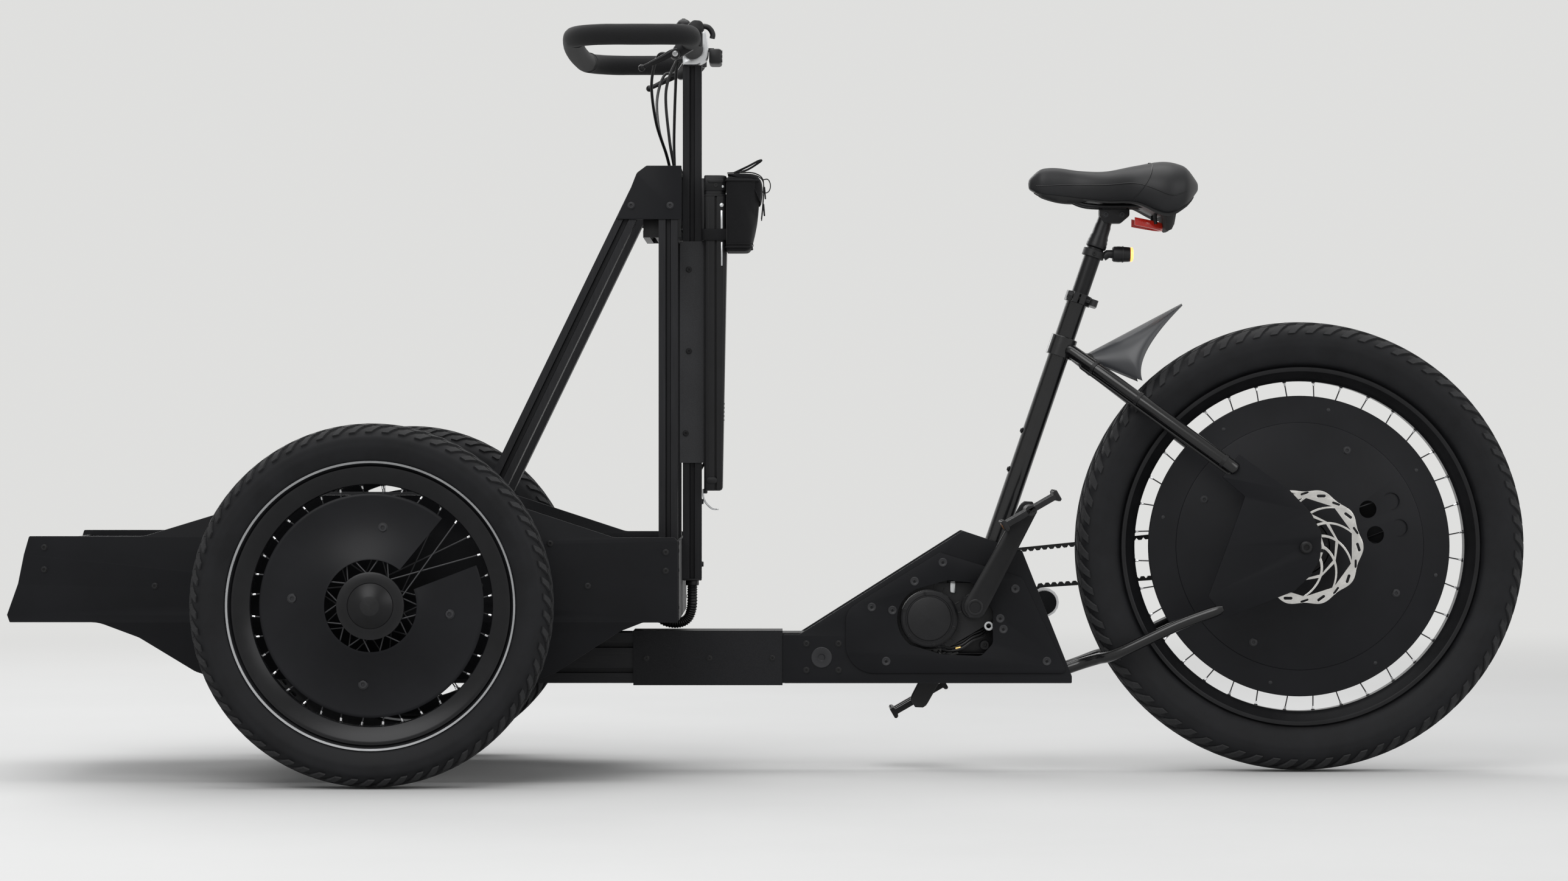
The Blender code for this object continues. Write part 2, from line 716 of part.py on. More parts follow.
def brake_rotor(centre):
    """A wavy disc with slanted slots in its band and curved arms to its hub."""
    count = ROTOR_LOBES * 3
    rim = []
    for index in range(count):
        angle = 2 * pi * index / count
        radius = ROTOR_R + ROTOR_WAVE * cos(ROTOR_LOBES * angle)
        rim.append((centre.x + radius * cos(angle), centre.z + radius * sin(angle)))
    loops = [rim, ring(centre.x, centre.z, ROTOR_BORE, HUB_STEPS)]
    for index in range(ROTOR_LOBES):
        middle = 2 * pi * index / ROTOR_LOBES
        slot = ((0.075, -0.02), (0.086, 0.12), (0.086, 0.23), (0.075, 0.09))
        loops.append([(centre.x + r * cos(middle + a), centre.z + r * sin(middle + a))
                      for r, a in slot])
    arms = 5
    for index in range(arms):
        middle = 2 * pi * index / arms
        window = ((0.030, -0.38), (0.049, -0.22), (0.068, 0.02), (0.070, 0.46), (0.068, 0.90),
                  (0.030, 0.34))
        loops.append([(centre.x + r * cos(middle + a), centre.z + r * sin(middle + a))
                      for r, a in window])
    return plate("brake_rotor", loops, ROTOR_Y, ROTOR_Y + ROTOR_T)


# Main beam, sleeve and gear case

def main_beam(looks):
    front = KINGPIN_X + BEAM_FRONT
    tail = CRANK_X + BEAM_TAIL
    loops = slotted_loops(BEAM, BEAM, BEAM / 2, BEAM / 2 / SLOT_BAR)
    loops += [ring(x, z, BEAM_CORE_R, 6) for x in (-BEAM / 4, BEAM / 4) for z in (-BEAM / 4, BEAM / 4)]
    beam = slotted_bar("main_beam", loops, (tail, 0, BEAM_Z), (front, 0, BEAM_Z))
    bore = rod("bore", (KINGPIN_X, 0, BEAM_Z - BEAM), (KINGPIN_X, 0, BEAM_Z + BEAM),
               KINGPIN_R + RUN, 12)
    finish(cut(beam, bore), looks["extrusion_black"])
    start = CRANK_X + SLEEVE_TAIL
    inner = BEAM_HALF + GAP
    outer = inner + SLEEVE_WALL
    frame = Matrix.Translation((start + GAP, 0, BEAM_Z)) @ Matrix.Rotation(pi / 2, 4, "Y")
    loops = [rectangle(-outer, outer, -outer, outer),
             rectangle(-inner, inner, -inner, inner)]
    sleeve = slab("beam_sleeve", loops, 0, SLEEVE_LENGTH, frame)
    finish(sleeve, looks["plate_black"])


def case_window():
    """The case's window: an arc round the motor's cover, then straight to the crank."""
    radius = MOTOR_COVER_R + WINDOW_GAP
    first, last = WINDOW_ARC
    steps = 6
    arc = []
    for index in range(steps + 1):
        angle = first + (last - first) * index / steps
        arc.append((MOTOR[0] + radius * cos(angle), MOTOR[1] + radius * sin(angle), 0))
    return outline(tuple(arc) + WINDOW_OUTLINE, CRANK_X, CRANK_Z)


def case_plates(looks, idler):
    for side, sign in (("left", 1), ("right", -1)):
        window = case_window()
        loops = [outline(CASE_OUTLINE, CRANK_X, CRANK_Z), window]
        wall = plate("case_plate_" + side, loops, sign * PLATE_IN, sign * PLATE_OUT)
        bite = 0.0005
        loops = [outline(LAYER_OUTLINE, CRANK_X, CRANK_Z), window]
        layer = plate("layer", loops, sign * (PLATE_OUT - bite), sign * LAYER_OUT)
        wall = join(wall, layer)
        if side == "right":
            extras = []
            for dx, dz in STANDOFFS:
                x, z = CRANK_X + dx, CRANK_Z + dz
                extras.append(rod("standoff", (x, -PLATE_IN - 0.002, z),
                                  (x, PLATE_IN - GAP, z), STANDOFF_R, 6))
            root = (CRANK_X - 0.070, CRANK_Z - 0.020)
            lobe = link_outline(*root, 0.024, *idler, 0.019, 5)
            extras.append(plate("lobe", [lobe], -PLATE_IN, -PLATE_OUT))
            near = BELT_Y + BELT_WIDTH / 2 + 0.001
            far = BELT_Y - BELT_WIDTH / 2 - 0.001
            head = RUN - CRANK_Y
            pin = ((0, head), (0.009, head), (0.009, far - GAP),
                   (IDLER_PIN_R, far - GAP), (IDLER_PIN_R, near + GAP),
                   (0.009, near + GAP), (0.009, -PLATE_IN - 0.002), (0, -PLATE_IN - 0.002))
            extras.append(turned("pin", pin, (idler[0], 0, idler[1]), 8))
            wall = join(wall, *extras)
        finish(wall, looks["plate_black"])


def motor(looks):
    x, z = CRANK_X + MOTOR[0], CRANK_Z + MOTOR[1]
    back = -BEAM_HALF
    core = plate("motor", [link_outline(x, z, MOTOR_R, CRANK_X, CRANK_Z, 0.036, 6)],
                 back, MOTOR_FACE)
    extras = []
    for dx, dz in MOTOR_EARS:
        ear = (CRANK_X + dx, CRANK_Z + dz)
        extras.append(plate("ear", [link_outline(x, z, 0.024, *ear, MOTOR_EAR_R, 3)],
                            back, MOTOR_FACE - 0.004))
        extras.append(rod("lug", (ear[0], MOTOR_FACE - 0.010, ear[1]),
                          (ear[0], BEAM_HALF, ear[1]), MOTOR_EAR_R - 0.002, 6))
    core = join(core, *extras)
    bore = rod("bore", (CRANK_X, back - 0.01, CRANK_Z), (CRANK_X, MOTOR_FACE + 0.01, CRANK_Z),
               SPINDLE_R + RUN, 12)
    finish(cut(core, bore), looks["plastic_black"])
    base = MOTOR_FACE + GAP
    profile = ((0, MOTOR_COVER_Y), (0.035, MOTOR_COVER_Y), (0.037, MOTOR_COVER_Y - 0.002),
               (MOTOR_COVER_R, MOTOR_COVER_Y - 0.005), (MOTOR_COVER_R, base), (0, base))
    finish(turned("motor_cover", profile, (x, 0, z), 18), looks["plastic_black"])


# Crank, pedals and belt

def crank_set(looks):
    centre = Vector((CRANK_X, 0, CRANK_Z))
    body = make_axis("crank_axis", centre)
    for side, sign in (("left", 1), ("right", -1)):
        dx = -sign * CRANK_LENGTH * sin(CRANK_ANGLE)
        dz = sign * CRANK_LENGTH * cos(CRANK_ANGLE)
        end = (CRANK_X + dx, CRANK_Z + dz)
        loop = link_outline(CRANK_X, CRANK_Z, 0.018, *end, 0.0145)
        arm = plate("crank_" + side, [loop], sign * CRANK_Y, sign * (CRANK_Y + CRANK_T))
        if side == "right":
            spindle = rod("spindle", (CRANK_X, -CRANK_Y - 0.004, CRANK_Z),
                          (CRANK_X, CRANK_Y - GAP, CRANK_Z), SPINDLE_R, 12)
            arm = join(arm, spindle)
        finish(arm, looks["plastic_black"], body)
        pedal(side, sign, end, looks)


def pedal(side, sign, place, looks):
    """An open platform with raised ends on its own axle."""
    start = CRANK_Y + CRANK_T + GAP
    low = start + 0.012
    high = low + PEDAL_WIDTH
    half = PEDAL_LENGTH / 2
    web, lip, tall = 0.0045, 0.006, 0.010
    loop = ((-half, -tall), (-half + lip, -tall), (-half + lip, -web), (half - lip, -web),
            (half - lip, -tall), (half, -tall), (half, tall), (half - lip, tall),
            (half - lip, web), (-half + lip, web), (-half + lip, tall), (-half, tall))
    body = plate("pedal_" + side, [loop], sign * low, sign * high)
    hub = rod("hub", (0, sign * low, 0), (0, sign * high, 0), 0.009, 8)
    stem = rod("stem", (0, sign * start, 0), (0, sign * (low + 0.004), 0), 0.0065, 8)
    body = join(body, hub, stem)
    near, far = sorted((sign * (low + 0.010), sign * (high - 0.010)))
    reach = half / 2 - 0.0115
    for centre in (-half / 2 - 0.002, half / 2 + 0.002):
        window = box("window", (centre - reach, near, -0.02), (centre + reach, far, 0.02))
        body = cut(body, window)
    spot = Matrix.Translation((place[0], 0, place[1]))
    body.matrix_world = spot @ Matrix.Rotation(PEDAL_TILT, 4, "Y") @ body.matrix_world
    axis = make_axis("pedal_axis_" + side, spot.translation, bodies["crank_axis"])
    finish(body, looks["plastic_black"], axis)


class Pulley:
    """A circle that the belt's pitch line follows, turning left (+1) or right (-1)."""

    def __init__(self, x, z, radius, sense):
        self.place = Vector((x, z))
        self.radius = radius
        self.sense = sense
        self.first = 0.0
        self.sweep = 0.0


def belt_pieces(idler_lift):
    """The pitch line as (kind, start length, data) pieces, and its whole length."""
    front = Pulley(CRANK_X, CRANK_Z, FRONT_TEETH * BELT_PITCH / (2 * pi), 1)
    rear = Pulley(REAR_X, REAR_Z, REAR_TEETH * BELT_PITCH / (2 * pi), 1)
    idler = Pulley(CRANK_X + IDLER[0], CRANK_Z + IDLER[1] + idler_lift,
                   IDLER_R + RUN + BELT_BACK, -1)
    wheels = (front, rear, idler)
    lines = []
    for index, wheel in enumerate(wheels):
        other = wheels[(index + 1) % 3]
        gap = other.place - wheel.place
        offset = other.sense * other.radius - wheel.sense * wheel.radius
        heading = atan2(gap.y, gap.x) - asin(offset / gap.length)
        left = Vector((-sin(heading), cos(heading)))
        leave = wheel.place - wheel.sense * wheel.radius * left
        arrive = other.place - other.sense * other.radius * left
        lines.append((leave, arrive))
    pieces = []
    length = 0.0
    for index, wheel in enumerate(wheels):
        leave, arrive = lines[index]
        pieces.append(("line", length, (leave, arrive)))
        length += (arrive - leave).length
        other = wheels[(index + 1) % 3]
        onward = lines[(index + 1) % 3][0]
        start = arrive - other.place
        end = onward - other.place
        sweep = (atan2(end.y, end.x) - atan2(start.y, start.x)) * other.sense
        other.sweep = sweep % (2 * pi)
        other.first = atan2(start.y, start.x)
        pieces.append(("arc", length, other))
        length += other.sweep * other.radius
    return pieces, length


def belt_point(pieces, total, length, offset):
    """A point at a length along the pitch line, offset outwards from the loop."""
    length = length % total
    kind, start, data = [piece for piece in pieces if piece[1] <= length][-1]
    if kind == "line":
        leave, arrive = data
        along = (arrive - leave).normalized()
        spot = leave + along * (length - start)
        return tuple(spot + offset * Vector((along.y, -along.x)))
    angle = data.first + data.sense * (length - start) / data.radius
    radius = data.radius + data.sense * offset
    return (data.place.x + radius * cos(angle), data.place.y + radius * sin(angle))


def solve_belt():
    """Set the idler's height so that the belt is a whole number of teeth long."""
    low, high = -IDLER_TRAVEL, IDLER_TRAVEL
    teeth = round(belt_pieces(0.0)[1] / BELT_PITCH)
    for _ in range(60):
        middle = (low + high) / 2
        if belt_pieces(middle)[1] < teeth * BELT_PITCH:
            low = middle
        else:
            high = middle
    pieces, total = belt_pieces(low)
    print("belt teeth", teeth, "idler lift", round(low, 5))
    return pieces, total, teeth, low


def toothed_belt(pieces, total, teeth):
    inner = []
    step = total / teeth
    tooth = ((-BELT_TIP, -BELT_TOOTH), (BELT_TIP, -BELT_TOOTH), (step / 2, -BELT_LAND))
    for index in range(teeth):
        middle = (index + 0.5) * step
        inner += [belt_point(pieces, total, middle + along, offset) for along, offset in tooth]
    outer = []
    for kind, start, data in pieces:
        if kind == "line":
            spots = [0.0]
        else:
            count = max(2, ceil(data.sweep / radians(14)))
            spots = [data.sweep * data.radius * i / count for i in range(count)]
        outer += [belt_point(pieces, total, start + along, BELT_BACK) for along in spots]
    width = BELT_WIDTH / 2
    return plate("drive_belt", [outer, inner], BELT_Y - width, BELT_Y + width)


def sprocket(name, pulley, teeth, pieces, total, belt_teeth, holes):
    """A toothed wheel whose grooves take the belt's teeth as they lie at rest."""
    start = [piece[1] for piece in pieces if piece[2] is pulley][0]
    step = total / belt_teeth
    first = ceil(start / step - 0.5)
    lead = (first + 0.5) * step - start
    phase = pulley.first + lead / pulley.radius
    land = pulley.radius - BELT_LAND - 2 * GAP
    groove = pulley.radius - BELT_TOOTH - GAP
    half = BELT_TIP + 2 * GAP
    loop = []
    for index in range(teeth):
        middle = phase + 2 * pi * index / teeth
        for along, radius in ((-half, groove), (half, groove), (BELT_PITCH / 2, land)):
            angle = middle + along / pulley.radius
            loop.append((pulley.place.x + radius * cos(angle),
                         pulley.place.y + radius * sin(angle)))
    width = BELT_WIDTH / 2 - 0.0002
    return plate(name, [loop] + holes, BELT_Y - width, BELT_Y + width)


def belt_drive(looks):
    pieces, total, teeth, lift = solve_belt()
    finish(toothed_belt(pieces, total, teeth), looks["belt_black"])
    rear, idler, front = [piece[2] for piece in pieces if piece[0] == "arc"]
    holes = [ring(CRANK_X, CRANK_Z, SPINDLE_R + GAP, 12)]
    high = front.radius - BELT_TOOTH - GAP - SPROCKET_RIM
    window = ((SPROCKET_BOSS, -0.36), (high - 0.003, -0.50), (high, 0.0), (high - 0.003, 0.50),
              (SPROCKET_BOSS, 0.36))
    for index in range(SPROCKET_ARMS):
        middle = 2 * pi * index / SPROCKET_ARMS
        holes.append([(CRANK_X + r * cos(middle + a), CRANK_Z + r * sin(middle + a))
                      for r, a in window])
    piece = sprocket("front_sprocket", front, FRONT_TEETH, pieces, total, teeth, holes)
    finish(piece, looks["extrusion_black"], bodies["crank_axis"])
    body = make_axis("rear_sprocket_axis", (REAR_X, 0, REAR_Z))
    holes = [ring(REAR_X, REAR_Z, FREEHUB_R + 2 * RUN, 12)]
    piece = sprocket("rear_sprocket", rear, REAR_TEETH, pieces, total, teeth, holes)
    finish(piece, looks["steel"], body)
    place = (idler.place.x, 0, idler.place.y)
    body = make_axis("idler_axis", place)
    half = BELT_WIDTH / 2 + 0.0005
    profile = ((IDLER_R, BELT_Y + half), (IDLER_R, BELT_Y - half),
               (IDLER_PIN_R + RUN, BELT_Y - half), (IDLER_PIN_R + RUN, BELT_Y + half))
    finish(turned("idler_pulley", profile, place, 16), looks["steel"], body)
    return (idler.place.x, idler.place.y)


# Seat tube, rear triangle, mudguard and caliper

def seat_tube(looks):
    foot = SEAT_FRAME @ Vector((0, 0, SEAT_FOOT))
    up = (SEAT_FRAME.to_3x3() @ Vector((0, 0, 1)))
    pipe = washer("seat_tube", foot, TUBE_BORE, SEAT_TUBE_R, 0, SEAT_TOP - SEAT_FOOT, SEAT_STEPS, up)
    reach = BEAM_HALF
    shell = rod("shell", foot - Vector((0, reach, 0)), foot + Vector((0, reach, 0)), 0.018, 12)
    finish(join(pipe, shell), looks["gloss_black"])


def dropout_top():
    """The two upper corners of the dropouts, where the seat stays come down."""
    return [Vector((x + REAR_X, 0, z + REAR_Z))
            for x, z, _ in (DROPOUT_OUTLINE[0], DROPOUT_OUTLINE[-1])]


def stay_point(share, y):
    """A point of the seat stay's line in side view, from its ring past the dropout's edge."""
    top = SEAT_FRAME @ Vector((-0.010, 0, STAY_RING))
    rear, front = dropout_top()
    end = (rear + front) / 2
    end += (end - top).normalized() * STAY_LAP
    spot = top.lerp(end, share)
    return Vector((spot.x, y, spot.z))


def seat_stays(looks):
    up = (SEAT_FRAME.to_3x3() @ Vector((0, 0, 1)))
    middle = SEAT_FRAME @ Vector((0, 0, STAY_RING))
    band = washer("seat_stays", middle, RING_BORE, RING_BORE + 0.0045, -0.016, 0.016, SEAT_STEPS, up)
    stays = []
    for sign in (1, -1):
        route = [stay_point(share, sign * y) for share, y in STAY_SPREAD]
        stays.append(tube("stay", route, SEAT_STAY_R))
    spot = flap_bridge()
    stays.append(rod("bridge", spot - Vector((0, 0.030, 0)), spot + Vector((0, 0.030, 0)),
                     0.007, 8))
    wishbone = join(band, *stays)
    cutters = [rod("bore", middle - up * 0.05, middle + up * 0.05, RING_BORE, SEAT_STEPS)]
    rear, front = dropout_top()
    edge = (rear - front).normalized()
    inward = Vector((edge.z, 0, -edge.x)) * -1
    loop = [rear + edge * 0.02 - inward * GAP, front - edge * 0.02 - inward * GAP,
            front - edge * 0.02 + inward * 0.03, rear + edge * 0.02 + inward * 0.03]
    for sign in (1, -1):
        cutters.append(plate("slot", [[(p.x, p.z) for p in loop]], sign * (DROPOUT_Y - GAP),
                             sign * (DROPOUT_Y + DROPOUT_T + GAP)))
    finish(cut(wishbone, *cutters), looks["gloss_black"])


def rear_fork(looks):
    """Both chain stays, welded to their dropout plates and to a cross tube in the case."""
    x, z = CRANK_X + CASE_CROSS[0], CRANK_Z + CASE_CROSS[1]
    fork = rod("rear_fork", (x, -BEAM_HALF, z), (x, BEAM_HALF, z), 0.011, 12)
    pieces = []
    for sign in (1, -1):
        y = sign * (DROPOUT_Y + DROPOUT_T / 2)
        route = ((x, sign * 0.0295, z), (x - 0.034, sign * 0.031, z + 0.012),
                 (x - 0.060, sign * 0.047, z + 0.021), (x - 0.091, sign * 0.067, z + 0.031),
                 (REAR_X + 0.130, y, REAR_Z - 0.096))
        pieces.append(tube("chain_stay", route, CHAIN_STAY_R))
        loop = outline(DROPOUT_OUTLINE, REAR_X, REAR_Z)
        hole = ring(REAR_X, REAR_Z, REAR_AXLE_R + 2 * GAP, 12)
        pieces.append(plate("dropout", [loop, hole], sign * DROPOUT_Y,
                            sign * (DROPOUT_Y + DROPOUT_T)))
    finish(join(fork, *pieces), looks["plate_black"])
    out = DROPOUT_Y + DROPOUT_T + GAP
    profile = ((0, out + 0.006), (0.0085, out + 0.006), (0.0095, out), (REAR_AXLE_R, out),
               (REAR_AXLE_R, -out), (0.0095, -out), (0.0085, -out - 0.006), (0, -out - 0.006))
    bolt = turned("rear_axle", profile, (REAR_X, 0, REAR_Z), 10)
    finish(bolt, looks["steel"])


def caliper(looks):
    """A brake caliper astride the rotor's edge, on the inside of the left dropout."""
    bearing = atan2(CALIPER[1], CALIPER[0])
    frame = Matrix.Translation((REAR_X, 0, REAR_Z)) @ Matrix.Rotation(-bearing, 4, "Y") @ SIDE_VIEW
    loop = rectangle(0.057, 0.106, -0.021, 0.021, 0.007)
    body = slab("rear_caliper", [loop], -DROPOUT_Y + GAP, -(ROTOR_Y - 0.011), frame)
    slot = rod("slot", (REAR_X, ROTOR_Y - 0.0025, REAR_Z),
               (REAR_X, ROTOR_Y + ROTOR_T + 0.0025, REAR_Z), ROTOR_R + ROTOR_WAVE + 0.003, 32)
    finish(cut(body, slot), looks["plastic_black"])


def flap_bridge():
    """The bridge that carries the mudguard's root, just under its sheet."""
    along = (FLAP_TIP - FLAP_ROOT).normalized()
    below = Vector((-along.z, 0, along.x))
    spot = FLAP_ROOT + along * 0.008 + below * (0.007 + FLAP_T / 2 + GAP)
    return Vector((REAR_X, 0, REAR_Z)) + spot


def mudguard(looks):
    """A thin sprung sheet: narrow at its tip, with wings that droop round the tyre."""
    origin = Vector((REAR_X, 0, REAR_Z))
    stations, across = 8, 6
    shape = bmesh.new()
    rows = []
    for i in range(stations + 1):
        s = i / stations
        spine = FLAP_ROOT.lerp(FLAP_TIP, s)
        tongue = Vector((spine.x, 0.012, spine.z))
        if s < 0.35:
            t = max(0.0, (s - 0.12) / 0.23)
            edge = tongue.lerp(FLAP_WING[0], t * t * (3 - 2 * t))
        else:
            t = (s - 0.35) / 0.65
            tip = Vector((FLAP_TIP.x, 0.012, FLAP_TIP.z - 0.002))
            edge = (1 - t) ** 2 * FLAP_WING[0] + 2 * t * (1 - t) * FLAP_WING[1] + t ** 2 * tip
        row = []
        for j in range(across + 1):
            u = 2 * j / across - 1
            drop = 1 - cos(u * pi / 2)
            spot = spine.lerp(Vector((edge.x, 0, edge.z)), drop)
            spot.y = edge.y * sin(u * pi / 2)
            row.append(shape.verts.new(spot))
        rows.append(row)
    for i in range(stations):
        for j in range(across):
            shape.faces.new((rows[i][j], rows[i + 1][j], rows[i + 1][j + 1], rows[i][j + 1]))
    mesh = bpy.data.meshes.new("mudguard")
    shape.to_mesh(mesh)
    shape.free()
    sheet = new_object("mudguard", mesh)
    sheet.matrix_world = Matrix.Translation(origin)
    thick = sheet.modifiers.new("thickness", "SOLIDIFY")
    thick.thickness = FLAP_T
    thick.offset = 0
    bpy.context.view_layer.update()
    finish(meshed(sheet), looks["grey_flap"])


# Seat collar, seatpost, saddle and tail light

def seat_clamp(looks):
    """A split collar whose cross bolt ends in a quick-release lever."""
    up = (SEAT_FRAME.to_3x3() @ Vector((0, 0, 1)))
    low = SEAT_TOP - COLLAR_HEIGHT - 0.001
    high = SEAT_TOP - 0.001
    middle = (low + high) / 2
    outer = RING_BORE + 0.0045
    bolt_y = outer + 0.006
    loops = [ring(0, 0, outer, SEAT_STEPS)]
    band = slab("seat_collar", loops, low, high, SEAT_FRAME)
    ears = [slab("ear", [rectangle(-0.010, -0.0015, 0.010, bolt_y + 0.006)], low, high, SEAT_FRAME),
            slab("ear", [rectangle(0.0015, 0.010, 0.010, bolt_y + 0.006)], low, high, SEAT_FRAME)]
    start = SEAT_FRAME @ Vector((-outer + 0.0031, bolt_y, middle))
    end = SEAT_FRAME @ Vector((0.020, bolt_y, middle))
    bolt = rod("bolt", start, end, 0.003, 6)
    nut = rod("nut", SEAT_FRAME @ Vector((0.012, bolt_y, middle)), end, 0.0065, 6)
    band = join(band, *ears, bolt, nut)
    bore = slab("bore", [ring(0, 0, RING_BORE, SEAT_STEPS)], low - 0.01, high + 0.01, SEAT_FRAME)
    finish(cut(band, bore), looks["plastic_black"])
    hinge_x = -outer - 0.0034
    knee = (-outer - 0.0064, bolt_y - 0.030)
    pivot = SEAT_FRAME @ Vector((hinge_x, bolt_y, middle))
    body = make_axis("clamp_lever_axis", pivot)
    cam = link_outline(hinge_x, bolt_y, 0.0062, *knee, 0.0040, 5)
    tail = link_outline(*knee, 0.0040, -outer - 0.0054, bolt_y - 0.052, 0.0050, 5)
    height = 0.0055
    lever = slab("clamp_lever", [cam], middle - height, middle + height, SEAT_FRAME)
    paddle = slab("paddle", [tail], middle - height, middle + height, SEAT_FRAME)
    finish(join(lever, paddle), looks["plastic_black"], body)


def seatpost(looks):
    up = (SEAT_FRAME.to_3x3() @ Vector((0, 0, 1)))
    body = make_axis("seatpost_axis", SEAT_FRAME @ Vector((0, 0, SEAT_TOP)))
    low = SEAT_TOP - POST_INSERT
    origin = SEAT_FRAME.translation
    boot = LAMP_RING + 0.010
    profile = ((0, POST_HEAD - 0.006), (0.012, POST_HEAD - 0.006), (0.012, POST_HEAD - 0.020),
               (POST_R + BOOT_PROUD, boot + 0.006), (POST_R + BOOT_PROUD, boot), (POST_R, boot - 0.001),
               (POST_R, low), (0, low))
    post = turned("seatpost", profile, origin, SEAT_STEPS, up)
    head = SEAT_FRAME @ Vector((0, 0, POST_HEAD))
    top = head.z + 0.016
    block = box("block", (head.x - 0.034, -0.020, head.z - 0.018), (head.x + 0.014, 0.020, top))
    block = bevelled(block, 0.003, 1)
    finish(join(post, block), looks["plastic_black"], body)
    recess = box("recess", (head.x - 0.036, -0.022, head.z - 0.060),
                 (head.x + 0.016, 0.022, top + GAP))
    finish(cut(saddle(head), recess), looks["vinyl_black"], body)
    finish(tail_light(), looks["plastic_black"], body)


def saddle(head):
    """A crowned saddle: a coarse cage of sections under a subdivision surface."""
    section = ((0.0, 1.0), (0.55, 0.97), (0.93, 0.72), (1.0, 0.38), (0.72, 0.02))
    shape = bmesh.new()
    rings = []
    for x, low, high, half in SADDLE_STATIONS:
        loop = [(half * u, low + (high - low) * v) for u, v in section]
        loop.append((0.0, low + (high - low) * 0.14))
        loop += [(-y, z) for y, z in reversed(loop[1:-1])]
        rings.append([shape.verts.new((x, y, z)) for y, z in loop])
    count = len(rings[0])
    for first, second in zip(rings, rings[1:]):
        for j in range(count):
            k = (j + 1) % count
            shape.faces.new((first[j], first[k], second[k], second[j]))
    shape.faces.new(rings[0])
    shape.faces.new(list(reversed(rings[-1])))
    bmesh.ops.recalc_face_normals(shape, faces=shape.faces)
    mesh = bpy.data.meshes.new("saddle")
    shape.to_mesh(mesh)
    shape.free()
    pad = new_object("saddle", mesh)
    pad.matrix_world = Matrix.Translation(head)
    soft = pad.modifiers.new("soft", "SUBSURF")
    soft.levels = 1
    soft.render_levels = 1
    bpy.context.view_layer.update()
    return meshed(pad)


def tail_light():
    up = (SEAT_FRAME.to_3x3() @ Vector((0, 0, 1)))
    rear = (SEAT_FRAME.to_3x3() @ Vector((-1, 0, 0)))
    middle = SEAT_FRAME @ Vector((0, 0, LAMP_RING))
    band = washer("tail_light", middle, POST_R + GAP, POST_R + 0.004, -0.006, 0.006, SEAT_STEPS, up)
    arm = rod("arm", middle + rear * (POST_R + 0.002), middle + rear * 0.046, 0.005, 8)
    lamp = middle + rear * 0.044
    profile = ((0, 0.020), (0.010, 0.020), (0.013, 0.014), (0.011, 0), (0, 0))
    return join(band, arm, turned("lamp", profile, lamp, 10, rear))


# Front module

def cargo_bay(looks, body):
    axle = (KINGPIN_X, FRONT_Z)
    corners = [(x + (TOWER_X if x < 0 else KINGPIN_X), z + FRONT_Z, radius)
               for x, z, radius in SIDE_OUTLINE]
    for side, sign in (("left", 1), ("right", -1)):
        loops = [outline(corners), ring(*axle, STUB_R + GAP, 12)]
        wall = plate("side_plate_" + side, loops, sign * SIDE_IN, sign * SIDE_PLATE_Y)
        finish(wall, looks["plate_black"], body)
    half = SIDE_IN - GAP
    front = KINGPIN_X + CROSS_FRONT
    low, high = FRONT_Z + CROSS_LOW, FRONT_Z + CROSS_HIGH
    wall = box("rear_cross_plate", (BAY_REAR, -half, low), (BAY_REAR + CROSS_T, half, high))
    finish(wall, looks["plate_black"], body)
    wall = box("front_cross_plate", (front, -half, low), (front + CROSS_T, half, high))
    finish(wall, looks["plate_black"], body)
    deck = slab("cargo_deck", deck_loops(front - GAP, half), DECK_LOW, DECK_TOP)
    finish(deck, looks["plate_black"], body)


def brace_x(z):
    """Where a brace's centre line is at a height."""
    return UPRIGHT_X + BRACE_SPREAD * SLOT_BAR + BRACE_AHEAD + (BRACE_Z - z) * tan(BRACE_SLOPE)


def deck_loops(front, half):
    """The deck's outline, notched round the uprights, and its openings for the braces."""
    rear = BAY_REAR + CROSS_T + GAP
    inner = TOWER_Y - SLOT_BAR / 2 - GAP
    outer = TOWER_Y + SLOT_BAR / 2 + GAP
    notch = UPRIGHT_X + SLOT_BAR / 2 + GAP
    loop = ((rear, -half), (front, -half), (front, half), (rear, half),
            (rear, outer), (notch, outer), (notch, inner), (rear, inner),
            (rear, -inner), (notch, -inner), (notch, -outer), (rear, -outer))
    lean = SLOT_BAR / 2 / cos(BRACE_SLOPE)
    near = brace_x(DECK_TOP) - lean - NOTCH_SPARE
    far = brace_x(DECK_LOW) + lean + GAP
    return [loop, rectangle(near, far, inner, outer), rectangle(near, far, -outer, -inner)]


def front_axle(looks, body):
    """A box beam with the stub axles on its ends and the kingpin below its middle."""
    half = SIDE_IN - GAP
    x, z = KINGPIN_X, FRONT_Z
    top = z + DECK_Z - GAP
    beam = box("front_axle", (x - AXLE_BOX / 2, -half, top - AXLE_BOX),
               (x + AXLE_BOX / 2, half, top))
    beam = bevelled(beam, 0.003, 1)
    reach = FRONT_TRACK / 2 + 0.0245
    extras = []
    for sign in (1, -1):
        extras.append(rod("stub", (x, sign * (half - 0.02), z), (x, sign * reach, z), STUB_R, 12))
    boss_low = BEAM_Z + BEAM_HALF + GAP
    beam_low = BEAM_Z - BEAM_HALF
    profile = ((0, top - 0.01), (0.030, top - 0.01), (0.030, boss_low), (KINGPIN_R, boss_low),
               (KINGPIN_R, beam_low - GAP), (0.015, beam_low - GAP), (0.015, beam_low - 0.010),
               (0, beam_low - 0.010))
    extras.append(turned("kingpin", profile, (x, 0, 0), 12, (0, 0, 1)))
    finish(join(beam, *extras), looks["plate_black"], body)


